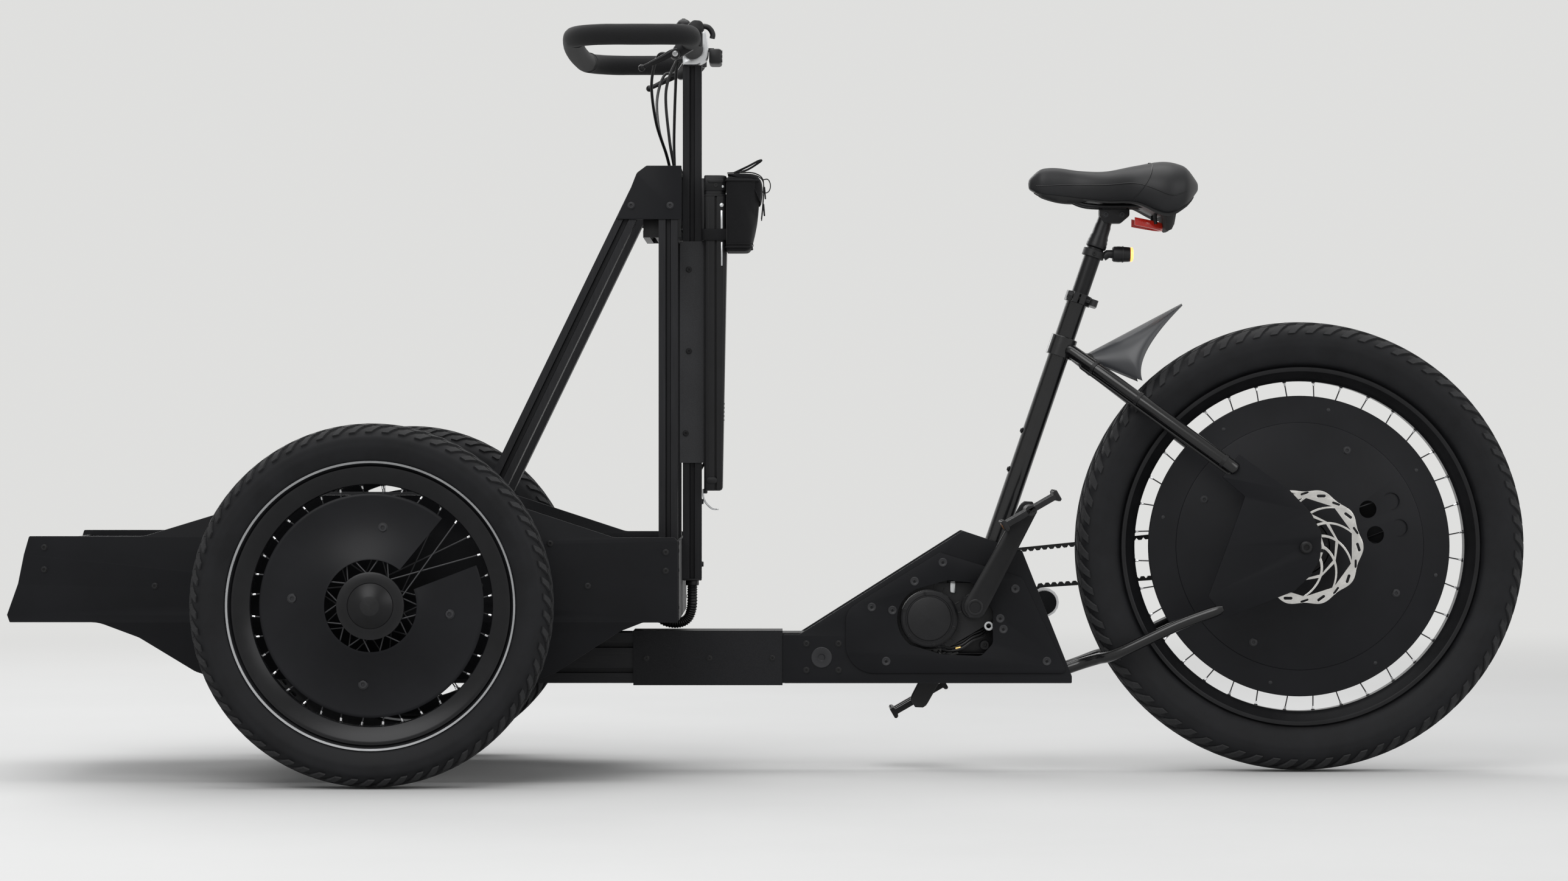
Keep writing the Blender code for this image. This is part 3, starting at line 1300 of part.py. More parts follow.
def tower(looks, body):
    loops = slotted_loops(SLOT_BAR, SLOT_BAR, SLOT_BAR)
    cap_under = CAP_TOP - CAP_T
    for side, sign in (("left", 1), ("right", -1)):
        y = sign * TOWER_Y
        bar = slotted_bar("upright_" + side, loops, (UPRIGHT_X, y, DECK_LOW),
                          (UPRIGHT_X, y, cap_under - GAP))
        finish(bar, looks["extrusion_black"], body)
        low = DECK_LOW - 0.03
        foot = (brace_x(low), y, low)
        brace = slotted_bar("brace_" + side, loops, foot, (brace_x(BRACE_TOP), y, BRACE_TOP))
        trim = box("trim", (foot[0] - 0.1, y - 0.05, low - 0.1), (foot[0] + 0.1, y + 0.05, DECK_LOW))
        finish(cut(brace, trim), looks["extrusion_black"], body)
    centre = BAY_REAR + CROSSBAR_DEPTH / 2
    reach = TOWER_Y - SLOT_BAR / 2 - GAP
    wide = slotted_loops(CROSSBAR_DEPTH, SLOT_BAR, SLOT_BAR)
    bar = slotted_bar("tower_crossbar", wide, (centre, -reach, CROSSBAR_Z),
                      (centre, reach, CROSSBAR_Z))
    finish(bar, looks["extrusion_black"], body)
    finish(tower_cap(), looks["plate_black"], body)
    post = slotted_bar("handlebar_post", loops, (POST_X, 0, STEER_POST_LOW),
                       (POST_X, 0, STEER_POST_TOP))
    finish(post, looks["extrusion_black"], body)


def tower_cap():
    """A folded sheet: a gusset on each side of the tower and a top between them."""
    inner = TOWER_Y + SLOT_BAR / 2 + GAP
    loop = outline(CAP_OUTLINE, TOWER_X)
    cap = plate("tower_cap", [loop], inner, inner + CAP_T)
    far = plate("far", [loop], -inner, -inner - CAP_T)
    front = TOWER_X + CAP_OUTLINE[4][0] - 0.002
    lap = inner + 0.001
    sheet = rectangle(BAY_REAR, front, -lap, lap)
    hole = ring(TOWER_X + GROMMET_X, 0, GROMMET_R, 12)
    top = slab("top", [sheet, hole], CAP_TOP - CAP_T, CAP_TOP - 0.0002)
    return join(cap, far, top)


def battery_set(looks, body):
    """Bracket round the post, slim battery on its back, and a pouch behind it."""
    side = SLOT_BAR / 2 + GAP
    wall = 0.0035
    front = BAY_REAR + 0.004
    rear = POST_X - SLOT_BAR / 2 - GAP
    back = rear - wall
    loop = ((front, -side - wall), (front, -side), (rear, -side), (rear, side), (front, side),
            (front, side + wall), (back, side + wall), (back, -side - wall))
    bracket_top = CROSSBAR_Z - SLOT_BAR / 2 - BRACKET_TO_CROSSBAR
    bracket = slab("battery_bracket", [loop], BRACKET_LOW, bracket_top)
    finish(bracket, looks["grey_plate"], body)
    face = back - GAP
    tail = face - BATTERY_DEPTH
    half = BATTERY_W / 2
    corners = ((face, BATTERY_LOW, 0.003), (face, BATTERY_TOP, 0.003),
               (tail, BATTERY_TOP, 0.004), (tail, BATTERY_TOP - 0.12, 0.004),
               (tail + 0.007, BATTERY_LOW, 0.006))
    pack = plate("battery", [outline(corners)], -half, half)
    groove = box("groove", (tail - 0.01, -half - 0.01, BATTERY_TOP - 0.0270),
                 (face + 0.01, half + 0.01, BATTERY_TOP - 0.0255))
    core = box("core", (tail + 0.0025, -half + 0.0025, BATTERY_LOW + 0.01),
               (face - 0.0025, half - 0.0025, BATTERY_TOP - 0.01))
    finish(cut(pack, cut(groove, core)), looks["plastic_black"], body)
    half = POUCH_W / 2
    bag = box("pouch", (tail - GAP - POUCH_DEPTH, -half, POUCH_LOW), (tail - GAP, half, POUCH_TOP))
    finish(bevelled(bag, 0.008, 1), looks["cloth_black"], body)


# Handlebar

def bar_route(step):
    """The closed loop of the handlebar's centre line, from its rear cross."""
    loop = outline(((BAR_REAR, -BAR_HALF, BAR_CORNER), (BAR_FRONT, -BAR_HALF, BAR_CORNER),
                    (BAR_FRONT, BAR_HALF, BAR_CORNER), (BAR_REAR, BAR_HALF, BAR_CORNER)),
                   TOWER_X, 0, step)
    return [(x, y, BAR_Z) for x, y in loop]


def grip_route(spare, step):
    """The same line without the rear cross's bare middle."""
    rear = TOWER_X + BAR_REAR
    loop = bar_route(step)
    ends = FOAM_END - spare
    return [(rear, -ends, BAR_Z)] + loop + [(rear, ends, BAR_Z)]


def handlebar(looks, body):
    bar = tube("handlebar", bar_route(radians(45)), BAR_R, 2, True)
    x = TOWER_X + BAR_REAR
    perches = []
    pivot = (x + 0.034, BAR_Z - 0.022)
    for sign in (1, -1):
        y0, y1 = sign * (PERCH_Y - PERCH_W / 2), sign * (PERCH_Y + PERCH_W / 2)
        perches.append(plate("clamp", [link_outline(x, BAR_Z, 0.0155, *pivot, 0.0085, 5)], y0, y1))
        perches.append(rod("pin", (pivot[0], sign * PERCH_Y, pivot[1]),
                           (pivot[0], sign * (PERCH_Y + PERCH_W / 2 + LEVER_T + 0.002), pivot[1]),
                           0.003, 8))
    finish(join(bar, *perches), looks["steel"], body)
    foam = tube("bar_foam", grip_route(0, radians(30)), FOAM_R)
    core = tube("core", grip_route(0.02, radians(45)), clear_of(BAR_R, 6), 1)
    finish(cut(foam, core), looks["foam_black"], body)
    for side, sign in (("left", 1), ("right", -1)):
        axis = make_axis("brake_lever_axis_" + side, (pivot[0], sign * PERCH_Y, pivot[1]), body)
        low = PERCH_Y + PERCH_W / 2 + GAP
        tip = (pivot[0] + LEVER_REACH[0], pivot[1] + LEVER_REACH[1])
        loops = [link_outline(*pivot, 0.0075, *tip, 0.0038, 5), ring(*pivot, 0.003 + GAP, 8)]
        blade = plate("brake_lever_" + side, loops, sign * low, sign * (low + LEVER_T))
        end = rod("end", (tip[0], sign * (low + 0.0005), tip[1]),
                  (tip[0], sign * (low + LEVER_T - 0.0005), tip[1]), 0.0062, 8)
        finish(join(blade, end), looks["plastic_black"], axis)


def bar_fittings(looks, body):
    x = TOWER_X + BAR_REAR
    front = POST_X + SLOT_BAR / 2
    base = STEER_POST_TOP + GAP
    corners = ((x - 0.0175, BAR_Z + 0.0175, 0.014), (x + 0.0175, BAR_Z + 0.0175, 0.014),
               (front, base, 0.002), (x - 0.006, base, 0.003), (x - 0.0175, BAR_Z - 0.008, 0.003))
    loops = [outline(corners), ring(x, BAR_Z, clear_of(BAR_R, 12), 12)]
    clamp = plate("stem_clamp", loops, -0.024, 0.024)
    finish(clamp, looks["steel"], body)
    rear = x - 0.0175 - GAP
    unit = box("display", (rear - 0.019, -0.034, BAR_Z - 0.022), (rear, 0.034, BAR_Z + 0.006))
    finish(bevelled(unit, 0.003, 1), looks["plastic_black"], body)
    y = 0.150
    band = washer("bell", (x, y, BAR_Z), clear_of(BAR_R, 12), BAR_R + 0.0035, -0.005, 0.005, 12)
    seat = (x + 0.012, y, BAR_Z + 0.016)
    neck = rod("neck", (x + 0.008, y, BAR_Z + 0.009), seat, 0.004, 6)
    dome = ((0, 0.0200), (0.0080, 0.0178), (0.0125, 0.0120), (0.0140, 0.0), (0, 0))
    finish(join(band, neck, turned("dome", dome, seat, 12, (0, 0, 1))), looks["plastic_black"],
           body)


def control_cables(looks, body):
    """Four cables from the bar's controls into one grommet in the tower's cap."""
    x = TOWER_X + GROMMET_X
    base = CAP_TOP
    profile = ((0, base + 0.006), (0.0085, base + 0.006), (0.0125, base + GAP),
               (GROMMET_R - GAP, base + GAP), (GROMMET_R - GAP, base - CAP_T - 0.002),
               (0, base - CAP_T - 0.002))
    grommet = turned("control_cables", profile, (x, 0, 0), 12, (0, 0, 1))
    bar_x = TOWER_X + BAR_REAR
    cables = []
    for sign in (1, -1):
        start = Vector((bar_x + 0.0425 + 2 * GAP, sign * 0.180, BAR_Z - 0.021))
        route = (start, start + Vector((0.018, -sign * 0.002, -0.003)),
                 (x + 0.041, sign * 0.150, 1.085), (x + 0.032, sign * 0.085, 1.030),
                 (x + 0.012, sign * 0.025, 0.985), (x + 0.004, sign * 0.005, base + 0.003))
        cables.append(tube("cable", smooth_route(route, 8), CABLE_R, 1))
        start = Vector((POST_X + SLOT_BAR / 2 - 0.0010, sign * 0.014, BAR_Z - 0.015))
        route = (start, start + Vector((0.010, 0, -0.002)), (x + 0.014, sign * 0.016, 1.085),
                 (x + 0.008, sign * 0.014, 1.010), (x - 0.003, sign * 0.004, base + 0.003))
        cables.append(tube("cable", smooth_route(route, 7), CABLE_R, 1))
    finish(join(grommet, *cables), looks["plastic_black"], body)


# Assembly

bodies = {}


def make_axis(name, place, parent=None):
    """An empty on a joint's axis, which carries the pieces that turn about it."""
    axis = bpy.data.objects.new(name, None)
    axis.empty_display_size = 0.05
    bpy.context.scene.collection.objects.link(axis)
    axis.matrix_world = Matrix.Translation(place)
    if parent is not None:
        bpy.context.view_layer.update()
        axis.parent = parent
        axis.matrix_parent_inverse = parent.matrix_world.inverted()
    bodies[name] = axis
    bpy.context.view_layer.update()
    return axis


def finish(obj, material, body=None):
    """Give a piece its material, smooth shading, collection and body."""
    obj.data.materials.clear()
    obj.data.materials.append(material)
    obj.data.shade_smooth()
    obj.data.set_sharp_from_angle(angle=radians(35))
    for home in list(obj.users_collection):
        home.objects.unlink(obj)
    collection.objects.link(obj)
    if body is not None:
        obj.parent = body
        obj.matrix_parent_inverse = body.matrix_world.inverted()
    parts[obj.name] = obj


def build():
    looks = make_materials()
    main_beam(looks)
    crank_set(looks)
    idler = belt_drive(looks)
    case_plates(looks, idler)
    motor(looks)
    seat_tube(looks)
    seat_stays(looks)
    rear_fork(looks)
    caliper(looks)
    mudguard(looks)
    seat_clamp(looks)
    seatpost(looks)
    rear_wheel(looks)
    steer = make_axis("steer_axis", (KINGPIN_X, 0, BEAM_Z))
    cargo_bay(looks, steer)
    front_axle(looks, steer)
    tower(looks, steer)
    battery_set(looks, steer)
    handlebar(looks, steer)
    bar_fittings(looks, steer)
    control_cables(looks, steer)
    for side, sign in (("left", 1), ("right", -1)):
        front_wheel(side, sign, looks)
        wheel = bodies["front_wheel_axis_" + side]
        wheel.parent = steer
        wheel.matrix_parent_inverse = steer.matrix_world.inverted()


clear_scene()
collection = bpy.data.collections.new("electric_cargo_trike")
bpy.context.scene.collection.children.link(collection)
build()
faces = {name: sum(len(p.vertices) - 2 for p in obj.data.polygons) for name, obj in parts.items()}
print("pieces", len(parts), "triangles", sum(faces.values()))
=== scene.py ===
import json
from math import acos, atan2, ceil, copysign, cos, hypot, pi, radians, sin, sqrt, tan

import bmesh
import bpy
from mathutils import Matrix, Vector, noise

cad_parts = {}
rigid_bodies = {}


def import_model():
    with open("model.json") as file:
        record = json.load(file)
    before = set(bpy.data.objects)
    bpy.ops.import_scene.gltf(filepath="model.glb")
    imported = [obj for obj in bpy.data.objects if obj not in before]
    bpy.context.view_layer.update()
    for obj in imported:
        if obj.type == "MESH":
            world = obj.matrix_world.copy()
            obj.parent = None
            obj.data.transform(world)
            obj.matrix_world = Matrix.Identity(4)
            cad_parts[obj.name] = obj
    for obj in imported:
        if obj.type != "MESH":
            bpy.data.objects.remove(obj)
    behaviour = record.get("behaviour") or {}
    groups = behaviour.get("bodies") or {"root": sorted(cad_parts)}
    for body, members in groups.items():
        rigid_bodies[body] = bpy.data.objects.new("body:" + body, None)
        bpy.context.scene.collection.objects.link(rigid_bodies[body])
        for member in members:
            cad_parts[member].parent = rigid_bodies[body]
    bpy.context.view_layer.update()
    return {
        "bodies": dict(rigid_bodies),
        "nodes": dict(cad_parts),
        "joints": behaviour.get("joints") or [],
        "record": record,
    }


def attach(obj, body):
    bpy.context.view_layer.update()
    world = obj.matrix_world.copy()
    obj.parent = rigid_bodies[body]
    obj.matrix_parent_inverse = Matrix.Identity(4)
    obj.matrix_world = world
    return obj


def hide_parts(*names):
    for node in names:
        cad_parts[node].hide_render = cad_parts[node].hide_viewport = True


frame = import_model()

# Sizes are in millimetres: +X forward, +Y to the rider's left, +Z up; places in side view are (x, z)
MM = 0.001
SIDES = (("left", 1), ("right", -1))
SKIN = 0.4
FRONT, TRACK = (617.5, 277), 730
REAR = (-828.5, 359)
SPOKES, HOLE_R = 36, 40
BLOCK = 4.5
CRANK = (-308.5, 264)
CRANK_LENGTH, CRANK_ANGLE = 175, radians(28.4)
ARM_IN, ARM_OUT = 68, 82
BEAM_Z = 182
PLATE_IN, PLATE_OUT, LAYER_OUT = 40.3, 45.3, 48.3
MOTOR_AT = (CRANK[0] + 71.5, CRANK[1] - 19.5)
SEAT = Matrix.Translation((CRANK[0], 0, CRANK[1])) @ Matrix.Rotation(radians(-18.9), 4, "Y")
SEAT_UP = SEAT.to_3x3() @ Vector((0, 0, 1))
SEAT_BACK = SEAT.to_3x3() @ Vector((-1, 0, 0))
SIDE_Y = 268
CAP_INNER = 135.3
BAR = (138.5, 1151)
BAR_FRONT, BAR_HALF, BAR_BOW = 315.5, 273, 11
LEVER = (162.5, 1128)
CAP_X = 171.5

# Outlines in side view: (x, z, corner radius) from the crank, the rear axle or the front axle
CASE_OUTLINE = (
    (304, -122, 4), (304, -44, 4), (277, -44, 4), (18.5, 120, 4), (-76, 88.5, 4), (-155, -111, 4),
    (-155, -122, 2),
)
LAYER_OUTLINE = ((55, 86, 6), (-76, 46, 10), (-148, -106, 6), (204, -106, 55), (204, -6, 30))
WINDOW_OUTLINE = (
    (41, 42, 20), (-2, 37, 20), (-29.5, -7, 14), (-29.5, -59, 12), (-11, -79, 12), (52, -76, 20),
)
DROPOUT = (
    (106, 147, 2), (26, 90, 10), (-8, 54, 20), (-24.6, 21.7, 15), (-22, -18, 20), (-6, -45.5, 15),
    (19, -69, 20), (126, -111, 10), (154, -78, 6), (124, 2.5, 10), (96, 80, 5), (131, 110, 2),
)
SIDE_OUTLINE = (
    (-461, 95, 1), (-455, 101, 1), (-362, 101, 30), (-164, 166, 40), (152, 166, 40),
    (359, 103, 30), (536, 103, 3), (544, 75, 20), (553, 30, 20), (570, -18, 0), (566, -29.5, 2),
    (430, -29.5, 60), (367, -53, 30), (281, -105, 30), (246, -117, 30), (-249, -117, 20),
    (-272, -108, 20), (-371, -44, 15), (-407, -30, 12), (-461, -30, 2),
)
CAP_OUTLINE = (
    (-463.5, 874, 2), (-361, 874, 2), (-384, 923, 10), (-393.3, 946.7, 10), (-408.5, 958, 4),
    (-463.5, 958, 1),
)
# The saddle's sections from its clamp: x, low, high, half width
STATIONS = (
    (-149, 38, 43, 46), (-128, 6, 69, 76), (-90, -18, 80, 93), (-40, 4, 73, 80), (5, 8, 65, 50),
    (45, 14, 66, 31), (85, 19, 71, 26), (112, 23, 68, 24), (131, 32, 56, 16),
)
BACKDROP = (0.74, 0.74, 0.73, 1)


# Materials: every one is a node pattern in the object's own metres

class Tree:
    """A node tree. Settings are attributes, values of inputs, or outputs to link into them."""

    def __init__(self, owner):
        owner.use_nodes = True
        self.nodes = owner.node_tree.nodes
        self.join = owner.node_tree.links.new

    def fill(self, node, *links, **settings):
        for key, value in settings.items():
            if hasattr(node, key):
                setattr(node, key, value)
            elif isinstance(value, bpy.types.NodeSocket):
                self.join(value, node.inputs[key.replace("_", " ")])
            else:
                node.inputs[key.replace("_", " ")].default_value = value
        for source, socket in zip(links, node.inputs):
            self.join(source, socket)
        return node

    def node(self, label, *links, **settings):
        return self.fill(self.nodes.new("ShaderNode" + label), *links, **settings)

    def mixed(self, below, share, colour):
        mix = self.node("Mix", share, data_type="RGBA")
        self.join(below, mix.inputs[6])
        mix.inputs[7].default_value = (*colour, 1)
        return mix.outputs[2]


def look(name, slot, colour, rough, metal=0.0, patch=14, spread=0.22, grain=900, depth=60,
         kind="grain", stretch=(1, 1, 1), wear=0.0, dust=0.0, spec=0.5, **sockets):
    """Colours are in ten-thousandths, the depth of the grain in micrometres."""
    colour = [c / 10000 for c in colour]
    material = bpy.data.materials.new(name)
    tree = Tree(material)
    node = tree.node
    place = node("TexCoord").outputs["Object"]
    mapped = node("Mapping", place, Scale=stretch).outputs["Vector"]
    cloud = node("TexNoise", place, Scale=patch, Detail=5.0, Roughness=0.6).outputs["Fac"]
    tone = node("ValToRGB", cloud)
    for stop, at_share, shade in zip(tone.color_ramp.elements, (0.3, 0.7), (1 - spread, 1 + spread)):
        stop.position = at_share
        stop.color = [c * shade for c in colour] + [1]
    paint = tone.outputs["Color"]
    if kind == "weave":
        waves = []
        for turn, phase in ((0, 0.0), (pi / 2, 1.6)):
            turned = node("Mapping", place, Rotation=(0, turn, 0)).outputs["Vector"]
            waves.append(node("TexWave", turned, Scale=grain, Distortion=0.6, Detail=1.0,
                              Phase_Offset=phase).outputs["Fac"])
        height = node("Math", *waves, operation="MAXIMUM").outputs["Value"]
    elif kind in ("hide", "pore"):
        feature = "DISTANCE_TO_EDGE" if kind == "hide" else "F1"
        height = node("TexVoronoi", mapped, feature=feature, Scale=grain,
                      Randomness=1.0).outputs["Distance"]
    else:
        height = node("TexNoise", mapped, Scale=grain, Detail=3.0, Roughness=0.7).outputs["Fac"]
    bump = node("Bump", Height=height, Strength=0.6, Distance=depth / 1e6)
    gloss = node("MapRange", cloud, To_Min=rough * 0.86, To_Max=min(1.0, rough * 1.16))
    shape = node("NewGeometry")
    if wear:
        edge = node("MapRange", shape.outputs["Pointiness"], From_Min=0.53, From_Max=0.60,
                    To_Max=wear).outputs["Result"]
        rubbed = node("Math", edge, height, operation="MULTIPLY").outputs["Value"]
        paint = tree.mixed(paint, rubbed, [min(1, c * 4 + 0.10) for c in colour])
    if dust:
        split = node("SeparateXYZ", shape.outputs["Normal"])
        up = node("MapRange", split.outputs["Z"], From_Min=0.55, From_Max=1.0,
                  To_Max=dust).outputs["Result"]
        laid = node("Math", up, cloud, operation="MULTIPLY").outputs["Value"]
        paint = tree.mixed(paint, laid, (0.20, 0.19, 0.175))
    tree.fill(tree.nodes["Principled BSDF"], Base_Color=paint, Metallic=metal, Specular_IOR_Level=spec,
              Roughness=gloss.outputs["Result"], Normal=bump.outputs["Normal"], **sockets)
    return material


COAT = look("powder_coat", "plate", (58, 60, 72), 0.48, patch=6, grain=700, depth=100, wear=0.12,
            dust=0.03, spec=0.12)
DECK = look("deck_board", "deck", (85, 85, 90), 0.62, patch=20, grain=260, depth=300, kind="hide",
            dust=0.10, spec=0.25)
ANODISED, ANODISED_SIDE, ANODISED_LONG = [
    look("black_anodised" + name, "plate", (65, 66, 78), 0.40, 0.35, patch=10, grain=500, depth=30,
         stretch=stretch, wear=0.12, spec=0.25)
    for name, stretch in (("", (1, 1, 0.04)), ("_side", (1, 0.04, 1)), ("_long", (0.04, 1, 1)))]
GLOSS = look("gloss_paint", "gloss_frame", (25, 25, 30), 0.24, patch=40, grain=160, depth=30,
             wear=0.08, spec=0.30, Coat_Weight=0.35, Coat_Roughness=0.06)
STEEL = look("machined_steel", "steel", (5600, 5600, 5700), 0.26, 1.0, patch=60, spread=0.10,
             grain=800, depth=20, stretch=(1, 0.08, 1))
ROTOR = look("rotor_steel", "steel", (6000, 5900, 5700), 0.24, 1.0, patch=50, spread=0.14,
             grain=1200, depth=30, stretch=(1, 1, 0.2))
SILVER = look("satin_alloy", "alloy_bright", (5800, 5900, 6000), 0.30, 0.95, patch=30, spread=0.10,
              depth=30)
ALLOY = look("black_alloy", "alloy_black", (65, 65, 72), 0.36, 0.30, patch=30, depth=50, wear=0.25,
             spec=0.30)
RIM = look("rim_anodised", "rim", (72, 73, 82), 0.30, 0.30, patch=25, grain=700, depth=30,
           wear=0.10, spec=0.30)
TYRE = look("tyre_rubber", "tyre", (75, 77, 88), 0.60, patch=22, spread=0.30, grain=420, depth=200,
            dust=0.06, spec=0.18)
TREAD = look("tread_rubber", "tyre", (110, 112, 120), 0.78, patch=35, spread=0.35, grain=600,
             depth=250, wear=0.18, dust=0.08, spec=0.22)
COVER = look("disc_cover", "cover", (70, 72, 86), 0.42, patch=9, spread=0.20, grain=520, depth=80,
             dust=0.03, spec=0.16)
PLASTIC = look("moulded_plastic", "plastic", (55, 55, 62), 0.46, patch=30, grain=1100, depth=100,
               wear=0.10, spec=0.28)
MOTOR = look("motor_case", "motor_case", (50, 50, 58), 0.42, 0.15, patch=25, grain=850, depth=140,
             wear=0.15, spec=0.28)
GREY = look("grey_bracket", "alloy_black", (170, 172, 190), 0.46, 0.15, patch=12, grain=650,
            depth=90, wear=0.20, spec=0.30)
FLAP = look("smoky_flap", "flap", (330, 345, 380), 0.34, patch=18, spread=0.06, grain=380, depth=10,
            spec=0.45)
FOAM = look("foam_grip", "foam", (60, 60, 66), 0.90, patch=45, spread=0.25, grain=750, depth=400,
            kind="pore", spec=0.2, Sheen_Weight=0.08, Sheen_Roughness=0.6)
VINYL = look("saddle_vinyl", "vinyl", (68, 70, 80), 0.46, patch=20, grain=640, depth=140,
             kind="hide", spec=0.30)
SIDE_VINYL = look("saddle_side_vinyl", "vinyl", (50, 52, 60), 0.36, patch=16, grain=420, depth=80,
                  spec=0.35)
CLOTH = look("pouch_weave", "cloth", (55, 55, 62), 0.88, patch=30, grain=260, depth=300,
             kind="weave", spec=0.2, Sheen_Weight=0.08, Sheen_Roughness=0.5)
WEBBING = look("webbing", "cloth", (70, 70, 78), 0.80, patch=50, grain=420, depth=350,
               kind="weave", spec=0.25)
BELT = look("belt_rubber", "plastic", (80, 80, 85), 0.66, patch=40, grain=500, depth=120, wear=0.2,
            spec=0.25)
CABLE = look("cable_sheath", "plastic", (55, 55, 60), 0.40, patch=40, grain=500, depth=50, spec=0.30)
GOLD = look("gold_band", "steel", (6200, 4200, 1400), 0.30, 0.9, patch=60, spread=0.10, grain=800,
            depth=20)
STRIPE = look("reflective_stripe", "tyre", (3400, 3450, 3500), 0.42, patch=30, spread=0.12, depth=50)
SCREEN = look("display_glass", "plastic", (120, 130, 160), 0.08, patch=40, grain=100, depth=10,
              Coat_Weight=0.8, Coat_Roughness=0.04)
# The red reflector's emission is a painted glow: a reflector is no lamp, so its faint shine of its own
# stands in for light it sends back.
RED_LENS_PAINTED_GLOW = look("red_reflector_painted_glow", "plastic", (3400, 120, 90), 0.20, patch=60, grain=330, depth=400,
                kind="pore", Emission_Color=(0.9, 0.05, 0.02, 1), Emission_Strength=0.08)
# The saddle's underside shell is black plastic, painted darker still than the other plastic: painted
# shade for the shadow under the saddle.
SHELL_PAINTED_SHADE = look("saddle_shell_painted_shade", "plastic", (35, 36, 40), 0.80, patch=20, grain=600, depth=50)
LIT_LENS = look("lit_lens", "plastic", (8000, 2000, 500), 0.25, patch=60, grain=500, depth=200,
                kind="pore", Emission_Color=(1.0, 0.34, 0.10, 1), Emission_Strength=2.4)
AMBER = look("amber_reflector", "plastic", (2200, 750, 80), 0.22, patch=60, grain=450, depth=300,
             kind="pore")


# Places and curves

def at(place, dx=0.0, dz=0.0, y=0.0):
    """A point in space, moved from a place (x, z) in side view."""
    return Vector((place[0] + dx, y, place[1] + dz))


def moved(place, pairs):
    return [(place[0] + dx, place[1] + dz) for dx, dz in pairs]


def around(place, radius, angle):
    return place[0] + radius * cos(angle), place[1] + radius * sin(angle)


def ring(place, radius, count=40, start=0.0):
    return [around(place, radius, start + 2 * pi * i / count) for i in range(count)]


def polar(centre, radius, angle, y=0.0):
    """A point round a centre in space, y to its side."""
    return Vector(centre) + Vector((radius * cos(angle), y, radius * sin(angle)))


def up_tube(distance, back=0.0):
    """A place measured up the seat tube from the crank axis."""
    return SEAT @ Vector((-back, 0, distance))


def clamp(share):
    return max(0.0, min(1.0, share))


def mirrored(half):
    """Half a section (radius, height) and its mirror image; a point on the middle stays single."""
    return [tuple(p) for p in half] + [(r, -y) for r, y in reversed(half) if abs(y) > MM]


def collar(inner, outer, low, high, soft, lean):
    """The section of a ring whose outer corners are cut by soft across and lean along."""
    return ((inner, low), (outer - soft, low), (outer, low + lean), (outer, high - lean),
            (outer - soft, high), (inner, high))


def corner_arc(before, corner, after, radius, step):
    corner = Vector(corner)
    back, ahead = Vector(before) - corner, Vector(after) - corner
    limit = 0.45 * min(back.length, ahead.length)
    back.normalize()
    ahead.normalize()
    half = back.angle(ahead) / 2
    if radius <= 0 or half > radians(89):
        return [tuple(corner)]
    reach = min(radius / tan(half), limit)
    centre = corner + (back + ahead).normalized() * (reach / cos(half))
    start = corner + back * reach - centre
    turn = start.angle_signed(corner + ahead * reach - centre)
    count = max(2, ceil(abs(turn) / step))
    arc = []
    for index in range(count + 1):
        spot = start.copy()
        spot.rotate(Matrix.Rotation(-turn * index / count, 2))
        arc.append(tuple(centre + spot))
    return arc


def outline(corners, place=(0, 0), step=radians(7)):
    """A closed loop through corners (x, z, fillet radius)."""
    loop = []
    for index, (x, z, radius) in enumerate(corners):
        after = corners[(index + 1) % len(corners)][:2]
        loop += corner_arc(corners[index - 1][:2], (x, z), after, radius, step)
    return moved(place, loop)


def link(a, r0, b, r1, count=16):
    """The outline round two circles."""
    heading = atan2(b[1] - a[1], b[0] - a[0])
    spread = acos((r0 - r1) / hypot(b[0] - a[0], b[1] - a[1]))
    loop = []
    for place, radius, start, sweep in ((b, r1, heading - spread, 2 * spread),
                                        (a, r0, heading + spread, 2 * (pi - spread))):
        loop += [around(place, radius, start + sweep * i / count) for i in range(count + 1)]
    return loop


def bend(p0, p1, p2, p3, t):
    """The Catmull-Rom curve between p1 and p2."""
    return 0.5 * (2 * p1 + (p2 - p0) * t + (2 * p0 - 5 * p1 + 4 * p2 - p3) * t ** 2
                  + (3 * p1 - p0 - 3 * p2 + p3) * t ** 3)


def with_ends(points):
    points = [Vector(p) for p in points]
    return [2 * points[0] - points[1]] + points + [2 * points[-1] - points[-2]]


def smooth(points, count):
    """Points of a smooth curve through the given ones."""
    ends = with_ends(points)
    route = []
    for index in range(count + 1):
        place = index / count * (len(points) - 1)
        span = min(int(place), len(points) - 2)
        route.append(bend(*ends[span:span + 4], place - span))
    return route


def level(corners, z):
    """A loop of rounded corners (x, y, radius) at a height, worked out in metres for the cloth."""
    loop = outline([[size * MM for size in corner] for corner in corners], step=radians(16))
    return [(x / MM, y / MM, z) for x, y in loop]


# Objects

def added(name, data):
    obj = bpy.data.objects.new(name, data)
    bpy.context.scene.collection.objects.link(obj)
    return obj


def evaluated(obj):
    """The object's mesh after its modifiers."""
    graph = bpy.context.evaluated_depsgraph_get()
    return bpy.data.meshes.new_from_object(obj.evaluated_get(graph))


def soften(obj):
    step = obj.modifiers.new("soft", "SUBSURF")
    step.levels = 1
    step.render_levels = 1


